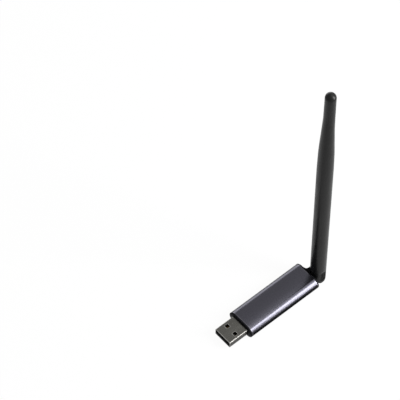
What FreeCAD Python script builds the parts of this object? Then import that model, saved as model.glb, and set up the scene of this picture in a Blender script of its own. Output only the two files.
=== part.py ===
import FreeCAD, Part

import math
import os

from FreeCAD import Vector

# A USB radio stick with a folding rod antenna.
# Millimetres. X runs along the stick from the plug (-X) to the antenna (+X), Y across it, Z up.
# The origin is on the surface that the stick lies on, under the middle of its length.

# Driving dimensions
PLUG_WIDTH = 12.0
PLUG_HEIGHT = 4.5
PLUG_REACH = 12.9
BODY_LENGTH = 49.8
BODY_WIDTH = 18.6
BODY_HEIGHT = 8.0
HINGE_BEHIND_BODY = 4.8
HINGE_HEIGHT = 4.55
ANTENNA_SIDE_SHIFT = -2.7
ANTENNA_RADIUS = 4.5
ANTENNA_TOP = 169.9

# Stations along the stick
HALF_LENGTH = 36.0
PLUG_FRONT = -HALF_LENGTH
BODY_FRONT = PLUG_FRONT + PLUG_REACH
BODY_REAR = BODY_FRONT + BODY_LENGTH
HINGE_X = BODY_REAR + HINGE_BEHIND_BODY
BODY_MIDDLE_Z = BODY_HEIGHT / 2

# Sleeve and caps
SLEEVE_WALL = 1.0
FRONT_RIM = 1.0
REAR_RIM = 0.9
RIM_BEVEL = 0.35
SLEEVE_FRONT = BODY_FRONT + FRONT_RIM
SLEEVE_REAR = BODY_REAR - REAR_RIM
BORE_WIDTH = BODY_WIDTH - 2 * SLEEVE_WALL
BORE_HEIGHT = BODY_HEIGHT - 2 * SLEEVE_WALL
SPIGOT_SLACK = 0.03
SPIGOT_DEPTH = 4.6
SPIGOT_WALL = 0.6
BROKEN_EDGE = 0.12

# Plug
SHELL_SHEET = 0.3
SHELL_CORNER = 0.85
SHELL_TAIL = 5.0
SHELL_REAR = BODY_FRONT + SHELL_TAIL
WINDOW_LENGTH = 2.3
WINDOW_WIDTH = 2.2
WINDOW_FROM_FRONT = 6.2
WINDOW_SPACING = 6.4
SEAM_WIDTH = 0.12
LEG_LENGTH = 1.6
LEG_REACH = 1.0
TONGUE_WIDTH = 10.9
TONGUE_THICK = 1.84
TONGUE_SETBACK = 0.35
TONGUE_LEAD_IN = 0.35
INSULATOR_SLACK = 0.02
BLOCK_OVERHANG = 0.8
CONTACT_WIDTH = 1.0
CONTACT_THICK = 0.2
POWER_CONTACT_Y = 3.5
DATA_CONTACT_Y = 1.0
POWER_SETBACK = 1.2
DATA_SETBACK = 2.2
CONTACT_TAIL = 1.9

# Boards and what is on them
BOARD_THICK = 0.8
BOARD_TOP = 3.2
BOARD_WIDTH = 13.8
BOARD_FRONT = BODY_FRONT + 1.4
BOARD_REAR = 20.4
BOARD_CORNER = 0.6
BOARD_SLACK = 0.2
NOTCH_DEPTH = SHELL_REAR - BOARD_FRONT + BOARD_SLACK
NOTCH_WIDTH = PLUG_WIDTH + 2 * BOARD_SLACK
TRAY_WALL = 0.45
TRAY_TOP = 3.8
TRAY_SLACK = 0.02
TRAY_LEDGE = 0.7
TRAY_FRONT = SLEEVE_FRONT + SPIGOT_DEPTH + BOARD_SLACK
TRAY_REAR = SLEEVE_REAR - SPIGOT_DEPTH - BOARD_SLACK
MODULE_LENGTH = 15.0
MODULE_WIDTH = 10.8
MODULE_THICK = 0.6
MODULE_X = 4.5
PAD_HALF = 0.35
PAD_PITCH = 1.5
PADS_PER_SIDE = 8
SHIELD_LENGTH = 11.5
SHIELD_WIDTH = 9.4
SHIELD_HEIGHT = 1.9
SHIELD_SHEET = 0.2
SHIELD_CORNER = 0.4
SHIELD_X = 3.6
CHIP_SIDE = 5.0
CHIP_THICK = 0.85
BRIDGE_LENGTH = 7.2
BRIDGE_WIDTH = 5.3
BRIDGE_THICK = 1.5
BRIDGE_X = -11.4
LEAD_PITCH = 0.65
LEADS_PER_SIDE = 10
LEAD_WIDTH = 0.3
LEAD_THICK = 0.15
LEAD_STEP = 0.55
LEAD_FOOT = 0.6
STANDOFF = 0.1
REGULATOR_X = -4.8
REGULATOR_Y = -4.6
REGULATOR_LENGTH = 2.9
REGULATOR_WIDTH = 1.6
REGULATOR_THICK = 1.0
REGULATOR_PITCH = 0.95
CRYSTAL_X = -5.9
CRYSTAL_Y = 1.2
CRYSTAL_LENGTH = 3.2
CRYSTAL_WIDTH = 2.5
CRYSTAL_HEIGHT = 0.7
CRYSTAL_FLANGE = 0.2
PART_LENGTH = 1.6
PART_WIDTH = 0.8
TERMINAL_LENGTH = PART_LENGTH / 5
TERMINAL_PROUD = 0.04
CAPACITOR_HEIGHT = 0.8
RESISTOR_HEIGHT = 0.45
CAPACITOR_PLACES = ((-11.4, 5.9), (-7.9, 5.9), (-5.4, 4.2), (-1.2, -6.3), (-12.9, -5.8), (15.6, 4.6))
RESISTOR_PLACES = ((-16.2, 4.6), (-16.2, -4.6), (-9.4, -5.8), (13.6, 5.8), (17.2, -5.6))

# Coaxial socket, its plug and the lead
SOCKET_X = 14.6
SOCKET_SIDE = 2.6
SOCKET_BASE = 0.4
SOCKET_BARREL = 1.0
SOCKET_TOP = BOARD_TOP + 1.25
COUPLING_RADIUS = 1.3
COUPLING_HEIGHT = 1.0
COUPLING_ROOF = 0.35
COUPLING_LIFT = 0.05
COUPLING_SLACK = 0.02
CRIMP_RADIUS = 0.7
CRIMP_LENGTH = 1.8
LEAD_RADIUS = 0.4
LEAD_SIDES = 8
LEAD_BEND = 1.15
LEAD_MEETING_Y = -1.18
LEAD_CLIMB = 3.6
LEAD_ENTRY = 2.0
ARC_SHARE = 0.45

# Hinge
LUG_RADIUS = 3.9
LUG_NEAR = -1.0
LUG_FAR = 1.8
LUG_ROOT_TOP = BODY_HEIGHT - 0.1
LUG_ROOT_BOTTOM = 0.5
LUG_FLARE = 1.6
LUG_MIDDLE_Y = (LUG_NEAR + LUG_FAR) / 2
LEAD_PASSAGE = 0.62
PIVOT_RADIUS = 1.27
PIVOT_BORE = 0.8
PIVOT_HEAD = 2.2
PIVOT_HEAD_THICK = 0.45
PIVOT_RIM = 1.6
PIVOT_RIM_THICK = 0.27
PIVOT_SLACK = 0.04
PIVOT_RIM_SLACK = 0.1
PIVOT_RIM_GAP = 0.02
KNUCKLE_RADIUS = 4.5
KNUCKLE_FAR = -1.35
KNUCKLE_WALL_Y = -3.2
LEAD_TURN_Y = KNUCKLE_WALL_Y - 1.5
LEAD_CLIMB_Y = LEAD_TURN_Y + 0.1
STEP_CLEARANCE = 0.3
WASHER_RADIUS = 2.7
WASHER_THICK = 0.31
FLAT_Y = ANTENNA_SIDE_SHIFT - 4.0
FLAT_TOP = 10.6
FLAT_RUNOUT = 0.8
COVER_RECESS = 0.22
COVER_THICK = 0.75
COVER_HALF_WIDTH = 1.85
COVER_BOTTOM = 2.0
COVER_TOP = 9.9
COVER_SLACK = 0.05
COVER_LEDGE = 0.2

# Antenna outside. Each station of the taper is a radius, a height and a shift towards the back.
TIP_RADIUS = 3.05
TIP_SHIFT = 0.38
SHOULDER_Z = 106.0
TAPER_STATIONS = (
    (ANTENNA_RADIUS, SHOULDER_Z, 0.0),
    (4.3, 120.0, 0.01),
    (3.95, 129.0, 0.02),
    (3.4, 141.0, 0.12),
    (3.12, 150.0, 0.34),
    (TIP_RADIUS, ANTENNA_TOP - TIP_RADIUS, TIP_SHIFT),
)

# Antenna inside
MAST_WALL = 1.15
MAST_BORE = ANTENNA_RADIUS - MAST_WALL
MAST_BORE_BOTTOM = 13.4
THROAT_RADIUS = 1.1
THROAT_Y = -3.8
POCKET_CEILING = 6.0
GROUND_TUBE_RADIUS = 2.8
GROUND_TUBE_WALL = 0.35
GROUND_TUBE_BOTTOM = 18.0
GROUND_TUBE_TOP = 94.0
SPACER_LENGTH = 3.0
SPACER_SLACK = 0.04
FEED_CAP_THICK = 1.2
FEED_CAP_NECK = 1.4
FEED_CAP_FLOOR = 0.15
FEED_SEAT_RADIUS = 0.95
FEED_COLLAR = 1.0
RADIATOR_RADIUS = 0.6
RADIATOR_TOP = 162.4
RADIATOR_SEAT = 0.5
TIP_SPACER_BOTTOM = 154.0
TIP_SPACER_TOP = 163.0


def box(x_from, x_to, y_from, y_to, z_from, z_to):
    corner = Vector(x_from, y_from, z_from)
    return Part.makeBox(x_to - x_from, y_to - y_from, z_to - z_from, corner)


def post(radius, z_from, z_to, x, y):
    return Part.makeCylinder(radius, z_to - z_from, Vector(x, y, z_from))


def cross_pin(radius, y_from, y_to):
    """A cylinder across the stick, on the hinge axis."""
    return Part.makeCylinder(radius, y_to - y_from, Vector(HINGE_X, y_from, HINGE_HEIGHT), Vector(0, 1, 0))


def stadium(x_from, x_to, width, height):
    """A bar along X whose section has flat top and bottom and half-round sides."""
    radius = height / 2
    reach = width / 2 - radius
    top = BODY_MIDDLE_Z + radius
    bottom = BODY_MIDDLE_Z - radius
    near_top = Vector(x_from, -reach, top)
    far_top = Vector(x_from, reach, top)
    far_side = Vector(x_from, width / 2, BODY_MIDDLE_Z)
    far_bottom = Vector(x_from, reach, bottom)
    near_bottom = Vector(x_from, -reach, bottom)
    near_side = Vector(x_from, -width / 2, BODY_MIDDLE_Z)
    edges = [
        Part.LineSegment(near_top, far_top).toShape(),
        Part.Arc(far_top, far_side, far_bottom).toShape(),
        Part.LineSegment(far_bottom, near_bottom).toShape(),
        Part.Arc(near_bottom, near_side, near_top).toShape(),
    ]
    return Part.Face(Part.Wire(edges)).extrude(Vector(x_to - x_from, 0, 0))


def rounded_bar(x_from, x_to, width, height, middle_z, corner):
    """A bar along X of rounded rectangular section."""
    bar = box(x_from, x_to, -width / 2, width / 2, middle_z - height / 2, middle_z + height / 2)
    long_edges = [edge for edge in bar.Edges if abs(edge.tangentAt(0).x) > 0.9]
    return bar.makeFillet(corner, long_edges)


def plate(x_from, x_to, y_from, y_to, z_from, z_to, corner):
    """A flat plate with rounded corners seen from above."""
    slab = box(x_from, x_to, y_from, y_to, z_from, z_to)
    upright_edges = [edge for edge in slab.Edges if abs(edge.tangentAt(0).z) > 0.9]
    return slab.makeFillet(corner, upright_edges)


def turned(profile, foot, direction):
    """A solid of revolution: profile holds (radius, distance along the axis) corners."""
    corners = [Vector(radius, 0, distance) for radius, distance in profile]
    face = Part.Face(Part.makePolygon(corners + [corners[0]]))
    solid = face.revolve(Vector(0, 0, 0), Vector(0, 0, 1), 360)
    turn = FreeCAD.Rotation(Vector(0, 0, 1), direction)
    solid.Placement = FreeCAD.Placement(foot, turn)
    return solid


def edges_in_plane(solid, axis, place):
    """The edges whose every point has the given coordinate."""
    found = []
    for edge in solid.Edges:
        ends = (edge.BoundBox.XMin, edge.BoundBox.YMin, edge.BoundBox.ZMin)
        far_ends = (edge.BoundBox.XMax, edge.BoundBox.YMax, edge.BoundBox.ZMax)
        if abs(ends[axis] - place) < 1e-4 and abs(far_ends[axis] - place) < 1e-4:
            found.append(edge)
    return found


def group(solids):
    return Part.makeCompound(solids)


def housing_sleeve():
    """The extruded outer sleeve, open at both ends, with its cut edges broken."""
    outside = stadium(SLEEVE_FRONT, SLEEVE_REAR, BODY_WIDTH, BODY_HEIGHT)
    ends = edges_in_plane(outside, 0, SLEEVE_FRONT) + edges_in_plane(outside, 0, SLEEVE_REAR)
    outside = outside.makeChamfer(BROKEN_EDGE, ends)
    return outside.cut(stadium(SLEEVE_FRONT - 1, SLEEVE_REAR + 1, BORE_WIDTH, BORE_HEIGHT))


def spigot(x_from, x_to):
    """The hollow part of a cap that slides into the sleeve."""
    width = BORE_WIDTH - 2 * SPIGOT_SLACK
    height = BORE_HEIGHT - 2 * SPIGOT_SLACK
    hollow = stadium(x_from - 1, x_to + 1, width - 2 * SPIGOT_WALL, height - 2 * SPIGOT_WALL)
    return stadium(x_from, x_to, width, height).cut(hollow)


def front_cap():
    """The cap round the plug: a bevelled rim, a face with the plug's opening, and a spigot."""
    rim = stadium(BODY_FRONT, SLEEVE_FRONT, BODY_WIDTH, BODY_HEIGHT)
    rim = rim.makeChamfer(RIM_BEVEL, edges_in_plane(rim, 0, BODY_FRONT))
    cap = rim.fuse(spigot(SLEEVE_FRONT, SLEEVE_FRONT + SPIGOT_DEPTH))
    opening = rounded_bar(
        BODY_FRONT - 1, SLEEVE_FRONT + SPIGOT_DEPTH + 1, PLUG_WIDTH, PLUG_HEIGHT, BODY_MIDDLE_Z, SHELL_CORNER
    )
    return cap.cut(opening).removeSplitter()


def tangent_point(corner_x, corner_z, side):
    """Where a line from a corner touches the lug's round end; side is 1 above and -1 below."""
    run_x = corner_x - HINGE_X
    run_z = corner_z - HINGE_HEIGHT
    distance = math.hypot(run_x, run_z)
    bearing = math.atan2(run_z, run_x)
    spread = math.acos(LUG_RADIUS / distance)
    angle = bearing - side * spread
    return Vector(HINGE_X + LUG_RADIUS * math.cos(angle), 0, HINGE_HEIGHT + LUG_RADIUS * math.sin(angle))


def lug_prism(y_from, y_to):
    """The lug's side outline: two lines from the cap that run into a round end."""
    inside = BODY_REAR - REAR_RIM / 2
    root_top = Vector(BODY_REAR, 0, LUG_ROOT_TOP)
    root_bottom = Vector(BODY_REAR, 0, LUG_ROOT_BOTTOM)
    touch_top = tangent_point(BODY_REAR, LUG_ROOT_TOP, 1)
    touch_bottom = tangent_point(BODY_REAR, LUG_ROOT_BOTTOM, -1)
    back = Vector(HINGE_X + LUG_RADIUS, 0, HINGE_HEIGHT)
    corners = [touch_bottom, root_bottom, Vector(inside, 0, LUG_ROOT_BOTTOM)]
    corners += [Vector(inside, 0, LUG_ROOT_TOP), root_top, touch_top]
    edges = Part.makePolygon(corners).Edges + [Part.Arc(touch_top, back, touch_bottom).toShape()]
    face = Part.Face(Part.Wire(edges))
    face.translate(Vector(0, y_from, 0))
    return face.extrude(Vector(0, y_to - y_from, 0))


def lug_flare():
    """The hollow fillet on the lug's outer side, where it spreads into the cap's face."""
    inside = BODY_REAR - REAR_RIM / 2
    start = Vector(BODY_REAR + LUG_FLARE, LUG_FAR, 0)
    end = Vector(BODY_REAR, LUG_FAR + LUG_FLARE, 0)
    bend = LUG_FLARE * (1 - math.sqrt(0.5))
    middle = Vector(BODY_REAR + bend, LUG_FAR + bend, 0)
    corners = [end, Vector(inside, LUG_FAR + LUG_FLARE, 0), Vector(inside, LUG_MIDDLE_Y, 0)]
    corners += [Vector(BODY_REAR + LUG_FLARE, LUG_MIDDLE_Y, 0), start]
    edges = Part.makePolygon(corners).Edges + [Part.Arc(start, middle, end).toShape()]
    upright = Part.Face(Part.Wire(edges)).extrude(Vector(0, 0, BODY_HEIGHT))
    return upright.common(lug_prism(LUG_NEAR, LUG_FAR + LUG_FLARE))


def rear_cap():
    """The cap at the antenna's end: rim, spigot, and the hinge lug with its eye and lead passage."""
    rim = stadium(SLEEVE_REAR, BODY_REAR, BODY_WIDTH, BODY_HEIGHT)
    rim = rim.makeChamfer(RIM_BEVEL, edges_in_plane(rim, 0, BODY_REAR))
    cap = rim.fuse(spigot(SLEEVE_REAR - SPIGOT_DEPTH, SLEEVE_REAR))
    cap = cap.fuse(lug_prism(LUG_NEAR, LUG_FAR)).fuse(lug_flare())
    eye = cross_pin(PIVOT_RADIUS, LUG_NEAR - 1, LUG_FAR + 1)
    seat = cross_pin(PIVOT_HEAD + PIVOT_SLACK, LUG_FAR - PIVOT_HEAD_THICK, LUG_FAR + 1)
    passage_start = Vector(SLEEVE_REAR - 1, LUG_MIDDLE_Y, HINGE_HEIGHT)
    passage = Part.makeCylinder(LEAD_PASSAGE, HINGE_X - SLEEVE_REAR + 1, passage_start, Vector(1, 0, 0))
    return cap.cut(eye).cut(seat).cut(passage).removeSplitter()


def plug_window(y, z_from, z_to):
    front = PLUG_FRONT + WINDOW_FROM_FRONT - WINDOW_LENGTH / 2
    near = y - WINDOW_WIDTH / 2
    return box(front, front + WINDOW_LENGTH, near, near + WINDOW_WIDTH, z_from, z_to)


def usb_plug_shell():
    """The plug's folded sheet shell, with its four latch windows, its seam below and its board legs."""
    outside = rounded_bar(PLUG_FRONT, SHELL_REAR, PLUG_WIDTH, PLUG_HEIGHT, BODY_MIDDLE_Z, SHELL_CORNER)
    outside = outside.makeChamfer(SHELL_SHEET / 2, edges_in_plane(outside, 0, PLUG_FRONT))
    inner_width = PLUG_WIDTH - 2 * SHELL_SHEET
    inner_height = PLUG_HEIGHT - 2 * SHELL_SHEET
    hollow = rounded_bar(
        PLUG_FRONT - 1, SHELL_REAR + 1, inner_width, inner_height, BODY_MIDDLE_Z, SHELL_CORNER - SHELL_SHEET
    )
    shell = outside.cut(hollow)
    top = BODY_MIDDLE_Z + PLUG_HEIGHT / 2
    bottom = BODY_MIDDLE_Z - PLUG_HEIGHT / 2
    for side in (-1, 1):
        y = side * WINDOW_SPACING / 2
        shell = shell.cut(plug_window(y, top - 1, top + 1))
        shell = shell.cut(plug_window(y, bottom - 1, bottom + SHELL_SHEET))
    seam = box(PLUG_FRONT - 1, SHELL_REAR + 1, -SEAM_WIDTH / 2, SEAM_WIDTH / 2, bottom - 1, bottom + 1)
    shell = shell.cut(seam)
    for side in (-1, 1):
        inner = side * (PLUG_WIDTH / 2 - SHELL_SHEET)
        outer = side * (PLUG_WIDTH / 2 + LEG_REACH - SHELL_SHEET)
        foot = box(
            SHELL_REAR - LEG_LENGTH, SHELL_REAR, min(inner, outer), max(inner, outer),
            BOARD_TOP, BOARD_TOP + SHELL_SHEET
        )
        shell = shell.fuse(foot)
    return shell.removeSplitter()


def tongue_bottom():
    return BODY_MIDDLE_Z - PLUG_HEIGHT / 2 + SHELL_SHEET


def usb_plug_insulator():
    """The moulded tongue and the block that fills the plug behind it, slotted for the contacts."""
    bottom = tongue_bottom()
    top = bottom + TONGUE_THICK
    front = PLUG_FRONT + TONGUE_SETBACK
    tongue = box(front, BODY_FRONT, -TONGUE_WIDTH / 2, TONGUE_WIDTH / 2, bottom, top)
    top_edges = edges_in_plane(tongue, 2, top)
    front_edges = edges_in_plane(tongue, 0, front)
    shared = [edge for edge in front_edges if any(edge.isSame(other) for other in top_edges)]
    tongue = tongue.makeChamfer(TONGUE_LEAD_IN, shared)
    room_width = PLUG_WIDTH - 2 * SHELL_SHEET - INSULATOR_SLACK
    room_height = PLUG_HEIGHT - 2 * SHELL_SHEET - INSULATOR_SLACK
    corner = SHELL_CORNER - SHELL_SHEET
    room = rounded_bar(PLUG_FRONT, SHELL_REAR, room_width, room_height, BODY_MIDDLE_Z, corner)
    block_front = BODY_FRONT - BLOCK_OVERHANG
    block = rounded_bar(block_front, SHELL_REAR, room_width, room_height, BODY_MIDDLE_Z, corner)
    insulator = tongue.common(room).fuse(block)
    for solid in contact_solids():
        insulator = insulator.cut(solid)
    return insulator.removeSplitter()


def contact_solids():
    """Four contact strips that lie in the tongue's top and run out behind onto the board."""
    top = tongue_bottom() + TONGUE_THICK
    strips = []
    for y, setback in (
        (-POWER_CONTACT_Y, POWER_SETBACK),
        (-DATA_CONTACT_Y, DATA_SETBACK),
        (DATA_CONTACT_Y, DATA_SETBACK),
        (POWER_CONTACT_Y, POWER_SETBACK),
    ):
        low = y - CONTACT_WIDTH / 2
        high = y + CONTACT_WIDTH / 2
        front = PLUG_FRONT + TONGUE_SETBACK + setback
        rear = SHELL_REAR + CONTACT_THICK
        strip = box(front, rear, low, high, top - CONTACT_THICK / 2, top + CONTACT_THICK / 2)
        drop = box(SHELL_REAR, rear, low, high, BOARD_TOP, top)
        tail = box(SHELL_REAR, SHELL_REAR + CONTACT_TAIL, low, high, BOARD_TOP, BOARD_TOP + CONTACT_THICK)
        strips.append(strip.fuse(drop).fuse(tail).removeSplitter())
    return strips


def usb_plug_contacts():
    return group(contact_solids())


def board_tray():
    """The insulating trough that lines the sleeve's lower half and carries the board on its ledges."""
    width = BORE_WIDTH - 2 * SPIGOT_SLACK
    height = BORE_HEIGHT - 2 * SPIGOT_SLACK
    outside = stadium(TRAY_FRONT, TRAY_REAR, width, height)
    inside = stadium(TRAY_FRONT - 1, TRAY_REAR + 1, width - 2 * TRAY_WALL, height - 2 * TRAY_WALL)
    above = box(TRAY_FRONT - 1, TRAY_REAR + 1, -BODY_WIDTH, BODY_WIDTH, TRAY_TOP, BODY_HEIGHT)
    tray = outside.cut(inside).cut(above)
    board_bottom = BOARD_TOP - BOARD_THICK
    for side in (-1, 1):
        inner = side * (BOARD_WIDTH / 2 - TRAY_LEDGE)
        outer = side * BOARD_WIDTH / 2
        ledge = box(TRAY_FRONT, TRAY_REAR, min(inner, outer), max(inner, outer), SLEEVE_WALL, board_bottom)
        tray = tray.fuse(ledge.common(outside))
    room_half = BOARD_WIDTH / 2 + TRAY_SLACK
    board_room = box(TRAY_FRONT - 1, TRAY_REAR + 1, -room_half, room_half, board_bottom, TRAY_TOP + 1)
    return tray.cut(board_room).removeSplitter()


def main_board():
    """The main circuit board, notched in front for the plug's body."""
    half = BOARD_WIDTH / 2
    board = plate(BOARD_FRONT, BOARD_REAR, -half, half, BOARD_TOP - BOARD_THICK, BOARD_TOP, BOARD_CORNER)
    notch = box(
        BOARD_FRONT - 1, BOARD_FRONT + NOTCH_DEPTH, -NOTCH_WIDTH / 2, NOTCH_WIDTH / 2,
        BOARD_TOP - BOARD_THICK - 1, BOARD_TOP + 1
    )
    room_width = BORE_WIDTH - 2 * SPIGOT_WALL - BOARD_SLACK
    room_height = BORE_HEIGHT - 2 * SPIGOT_WALL - BOARD_SLACK
    spigot_room = stadium(SLEEVE_FRONT - 1, TRAY_FRONT, room_width, room_height)
    front = box(BOARD_FRONT - 1, TRAY_FRONT, -half, half, 0, BODY_HEIGHT)
    return board.cut(notch).cut(front.cut(spigot_room)).removeSplitter()


def radio_module_board():
    """The small radio board, with solder notches cut into both long edges."""
    half = MODULE_WIDTH / 2
    start = MODULE_X - MODULE_LENGTH / 2
    board = box(start, start + MODULE_LENGTH, -half, half, BOARD_TOP, BOARD_TOP + MODULE_THICK)
    first = MODULE_X - PAD_PITCH * (PADS_PER_SIDE - 1) / 2
    for index in range(PADS_PER_SIDE):
        for side in (-1, 1):
            x = first + index * PAD_PITCH
            y = side * half
            notch = box(x - PAD_HALF, x + PAD_HALF, y - PAD_HALF, y + PAD_HALF, BOARD_TOP - 1, BOARD_TOP + 1)
            board = board.cut(notch)
    return board


def radio_chip():
    base = BOARD_TOP + MODULE_THICK
    half = CHIP_SIDE / 2
    return box(SHIELD_X - half, SHIELD_X + half, -half, half, base, base + CHIP_THICK)


def radio_shield():
    """The folded sheet can over the radio chip, open below."""
    base = BOARD_TOP + MODULE_THICK
    half_length = SHIELD_LENGTH / 2
    half_width = SHIELD_WIDTH / 2
    can = plate(
        SHIELD_X - half_length, SHIELD_X + half_length, -half_width, half_width,
        base, base + SHIELD_HEIGHT, SHIELD_CORNER
    )
    return can.cut(box(
        SHIELD_X - half_length + SHIELD_SHEET, SHIELD_X + half_length - SHIELD_SHEET,
        -half_width + SHIELD_SHEET, half_width - SHIELD_SHEET, base - 1, base + SHIELD_HEIGHT - SHIELD_SHEET
    ))


def gull_lead(x, side, body_edge, thick):
    """One bent lead from a chip's side down onto the board."""
    half = LEAD_WIDTH / 2
    shoulder_z = BOARD_TOP + STANDOFF + thick / 2
    corners = [
        (body_edge - LEAD_THICK, shoulder_z),
        (body_edge + LEAD_STEP, shoulder_z),
        (body_edge + LEAD_STEP, BOARD_TOP + LEAD_THICK),
        (body_edge + LEAD_STEP + LEAD_FOOT, BOARD_TOP + LEAD_THICK),
        (body_edge + LEAD_STEP + LEAD_FOOT, BOARD_TOP),
        (body_edge + LEAD_STEP - LEAD_THICK, BOARD_TOP),
        (body_edge + LEAD_STEP - LEAD_THICK, shoulder_z - LEAD_THICK),
        (body_edge - LEAD_THICK, shoulder_z - LEAD_THICK),
    ]
    points = [Vector(x - half, side * y, z) for y, z in corners]
    return Part.Face(Part.makePolygon(points + [points[0]])).extrude(Vector(LEAD_WIDTH, 0, 0))


def leaded_chip(x, y, length, width, thick, pitch, places):
    """A chip body with leads at the given steps along both sides."""
    bottom = BOARD_TOP + STANDOFF
    body = box(x - length / 2, x + length / 2, -width / 2, width / 2, bottom, bottom + thick)
    body = body.makeChamfer(BROKEN_EDGE, edges_in_plane(body, 2, bottom + thick))
    for side, steps in ((-1, places[0]), (1, places[1])):
        for step in steps:
            body = body.fuse(gull_lead(x + step * pitch, side, width / 2, thick))
    body.translate(Vector(0, y, 0))
    return body.removeSplitter()


def usb_bridge_chip():
    steps = [index - (LEADS_PER_SIDE - 1) / 2 for index in range(LEADS_PER_SIDE)]
    return leaded_chip(BRIDGE_X, 0, BRIDGE_LENGTH, BRIDGE_WIDTH, BRIDGE_THICK, LEAD_PITCH, (steps, steps))


def voltage_regulator():
    return leaded_chip(
        REGULATOR_X, REGULATOR_Y, REGULATOR_LENGTH, REGULATOR_WIDTH,
        REGULATOR_THICK, REGULATOR_PITCH, ((-1, 0, 1), (-1, 1))
    )


def crystal_can():
    """The quartz crystal's seam-welded can: a lid on a slightly wider base."""
    can = None
    for inset, height in ((0, CRYSTAL_HEIGHT / 2), (CRYSTAL_FLANGE, CRYSTAL_HEIGHT)):
        half_length = CRYSTAL_LENGTH / 2 - inset
        half_width = CRYSTAL_WIDTH / 2 - inset
        layer = box(
            CRYSTAL_X - half_length, CRYSTAL_X + half_length, CRYSTAL_Y - half_width, CRYSTAL_Y + half_width,
            BOARD_TOP, BOARD_TOP + height
        )
        can = can.fuse(layer) if can else layer
    return can.removeSplitter()


def small_parts(places, height):
    """Small two-ended parts, each with end terminals a little proud of its body."""
    parts = []
    half = PART_WIDTH / 2
    body_half = half - TERMINAL_PROUD
    for x, y in places:
        left = x - PART_LENGTH / 2
        right = x + PART_LENGTH / 2
        body = box(left, right, y - body_half, y + body_half, BOARD_TOP, BOARD_TOP + height - TERMINAL_PROUD)
        for start in (left, right - TERMINAL_LENGTH):
            end = start + TERMINAL_LENGTH
            body = body.fuse(box(start, end, y - half, y + half, BOARD_TOP, BOARD_TOP + height))
        parts.append(body.removeSplitter())
    return group(parts)


def chip_capacitors():
    return small_parts(CAPACITOR_PLACES, CAPACITOR_HEIGHT)


def chip_resistors():
    return small_parts(RESISTOR_PLACES, RESISTOR_HEIGHT)


def coax_socket():
    """The coaxial socket on the board: a square base and a short round barrel."""
    half = SOCKET_SIDE / 2
    base = box(
        SOCKET_X - half, SOCKET_X + half, LUG_MIDDLE_Y - half, LUG_MIDDLE_Y + half,
        BOARD_TOP, BOARD_TOP + SOCKET_BASE
    )
    barrel = post(SOCKET_BARREL, BOARD_TOP, SOCKET_TOP, SOCKET_X, LUG_MIDDLE_Y)
    return base.fuse(barrel).removeSplitter()


def coupling_bottom():
    return BOARD_TOP + SOCKET_BASE + COUPLING_LIFT


def coax_plug():
    """The snap-on coaxial plug with its crimped neck, which holds the lead."""
    bottom = coupling_bottom()
    top = bottom + COUPLING_HEIGHT + COUPLING_ROOF
    ring = post(COUPLING_RADIUS, bottom, top, SOCKET_X, LUG_MIDDLE_Y)
    room_radius = SOCKET_BARREL + COUPLING_SLACK
    room = post(room_radius, bottom - 1, SOCKET_TOP + COUPLING_SLACK, SOCKET_X, LUG_MIDDLE_Y)
    neck_start = Vector(SOCKET_X, LUG_MIDDLE_Y, HINGE_HEIGHT)
    reach = COUPLING_RADIUS + CRIMP_LENGTH
    neck = Part.makeCylinder(CRIMP_RADIUS, reach, neck_start, Vector(1, 0, 0))
    bore_start = Vector(SOCKET_X + COUPLING_RADIUS, LUG_MIDDLE_Y, HINGE_HEIGHT)
    bore = Part.makeCylinder(LEAD_RADIUS, reach, bore_start, Vector(1, 0, 0))
    return ring.fuse(neck).cut(room).cut(bore).removeSplitter()


def lead_section(place, direction):
    """The lead's section, eight-sided, inside a circle of the lead's radius."""
    turn = FreeCAD.Rotation(Vector(0, 0, 1), direction)
    corners = []
    for index in range(LEAD_SIDES):
        angle = 2 * math.pi * (index + 0.5) / LEAD_SIDES
        flat = Vector(LEAD_RADIUS * math.cos(angle), LEAD_RADIUS * math.sin(angle), 0)
        corners.append(place + turn.multVec(flat))
    return Part.makePolygon(corners + [corners[0]])


def bent_lead(route, bends):
    """A lead along straight runs joined by tangent arcs; bends holds a radius for each inner corner."""
    edges = []
    start = route[0]
    for index in range(1, len(route) - 1):
        corner = route[index]
        back = (route[index - 1] - corner).normalize()
        ahead = (route[index + 1] - corner).normalize()
        half_angle = back.getAngle(ahead) / 2
        bend = bends[index - 1]
        reach = bend / math.tan(half_angle)
        arc_start = corner + back * reach
        arc_end = corner + ahead * reach
        inward = (back + ahead).normalize()
        middle = corner + inward * (bend / math.sin(half_angle) - bend)
        edges.append(Part.LineSegment(start, arc_start).toShape())
        edges.append(Part.Arc(arc_start, middle, arc_end).toShape())
        start = arc_end
    edges.append(Part.LineSegment(start, route[-1]).toShape())
    path = Part.Wire(edges)
    direction = (route[1] - route[0]).normalize()
    lead = path.makePipeShell([lead_section(route[0], direction)], True, False, 1)
    print("lead length", round(path.Length, 2), "bend radii", [round(bend, 2) for bend in bends])
    return lead


def largest_bends(route):
    """For each inner corner, the arc that leaves the rest of the shorter run straight."""
    bends = []
    for index in range(1, len(route) - 1):
        back = route[index - 1] - route[index]
        ahead = route[index + 1] - route[index]
        half_turn = (math.pi - back.getAngle(ahead)) / 2
        bends.append(ARC_SHARE * min(back.Length, ahead.Length) / math.tan(half_turn))
    return bends


def coax_lead():
    """The lead from the coaxial plug through the rear cap to the hinge, where it turns along the pivot."""
    route = [
        Vector(SOCKET_X + COUPLING_RADIUS, LUG_MIDDLE_Y, HINGE_HEIGHT),
        Vector(HINGE_X, LUG_MIDDLE_Y, HINGE_HEIGHT),
        Vector(HINGE_X, LEAD_MEETING_Y, HINGE_HEIGHT),
    ]
    return bent_lead(route, [LEAD_BEND])


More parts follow.
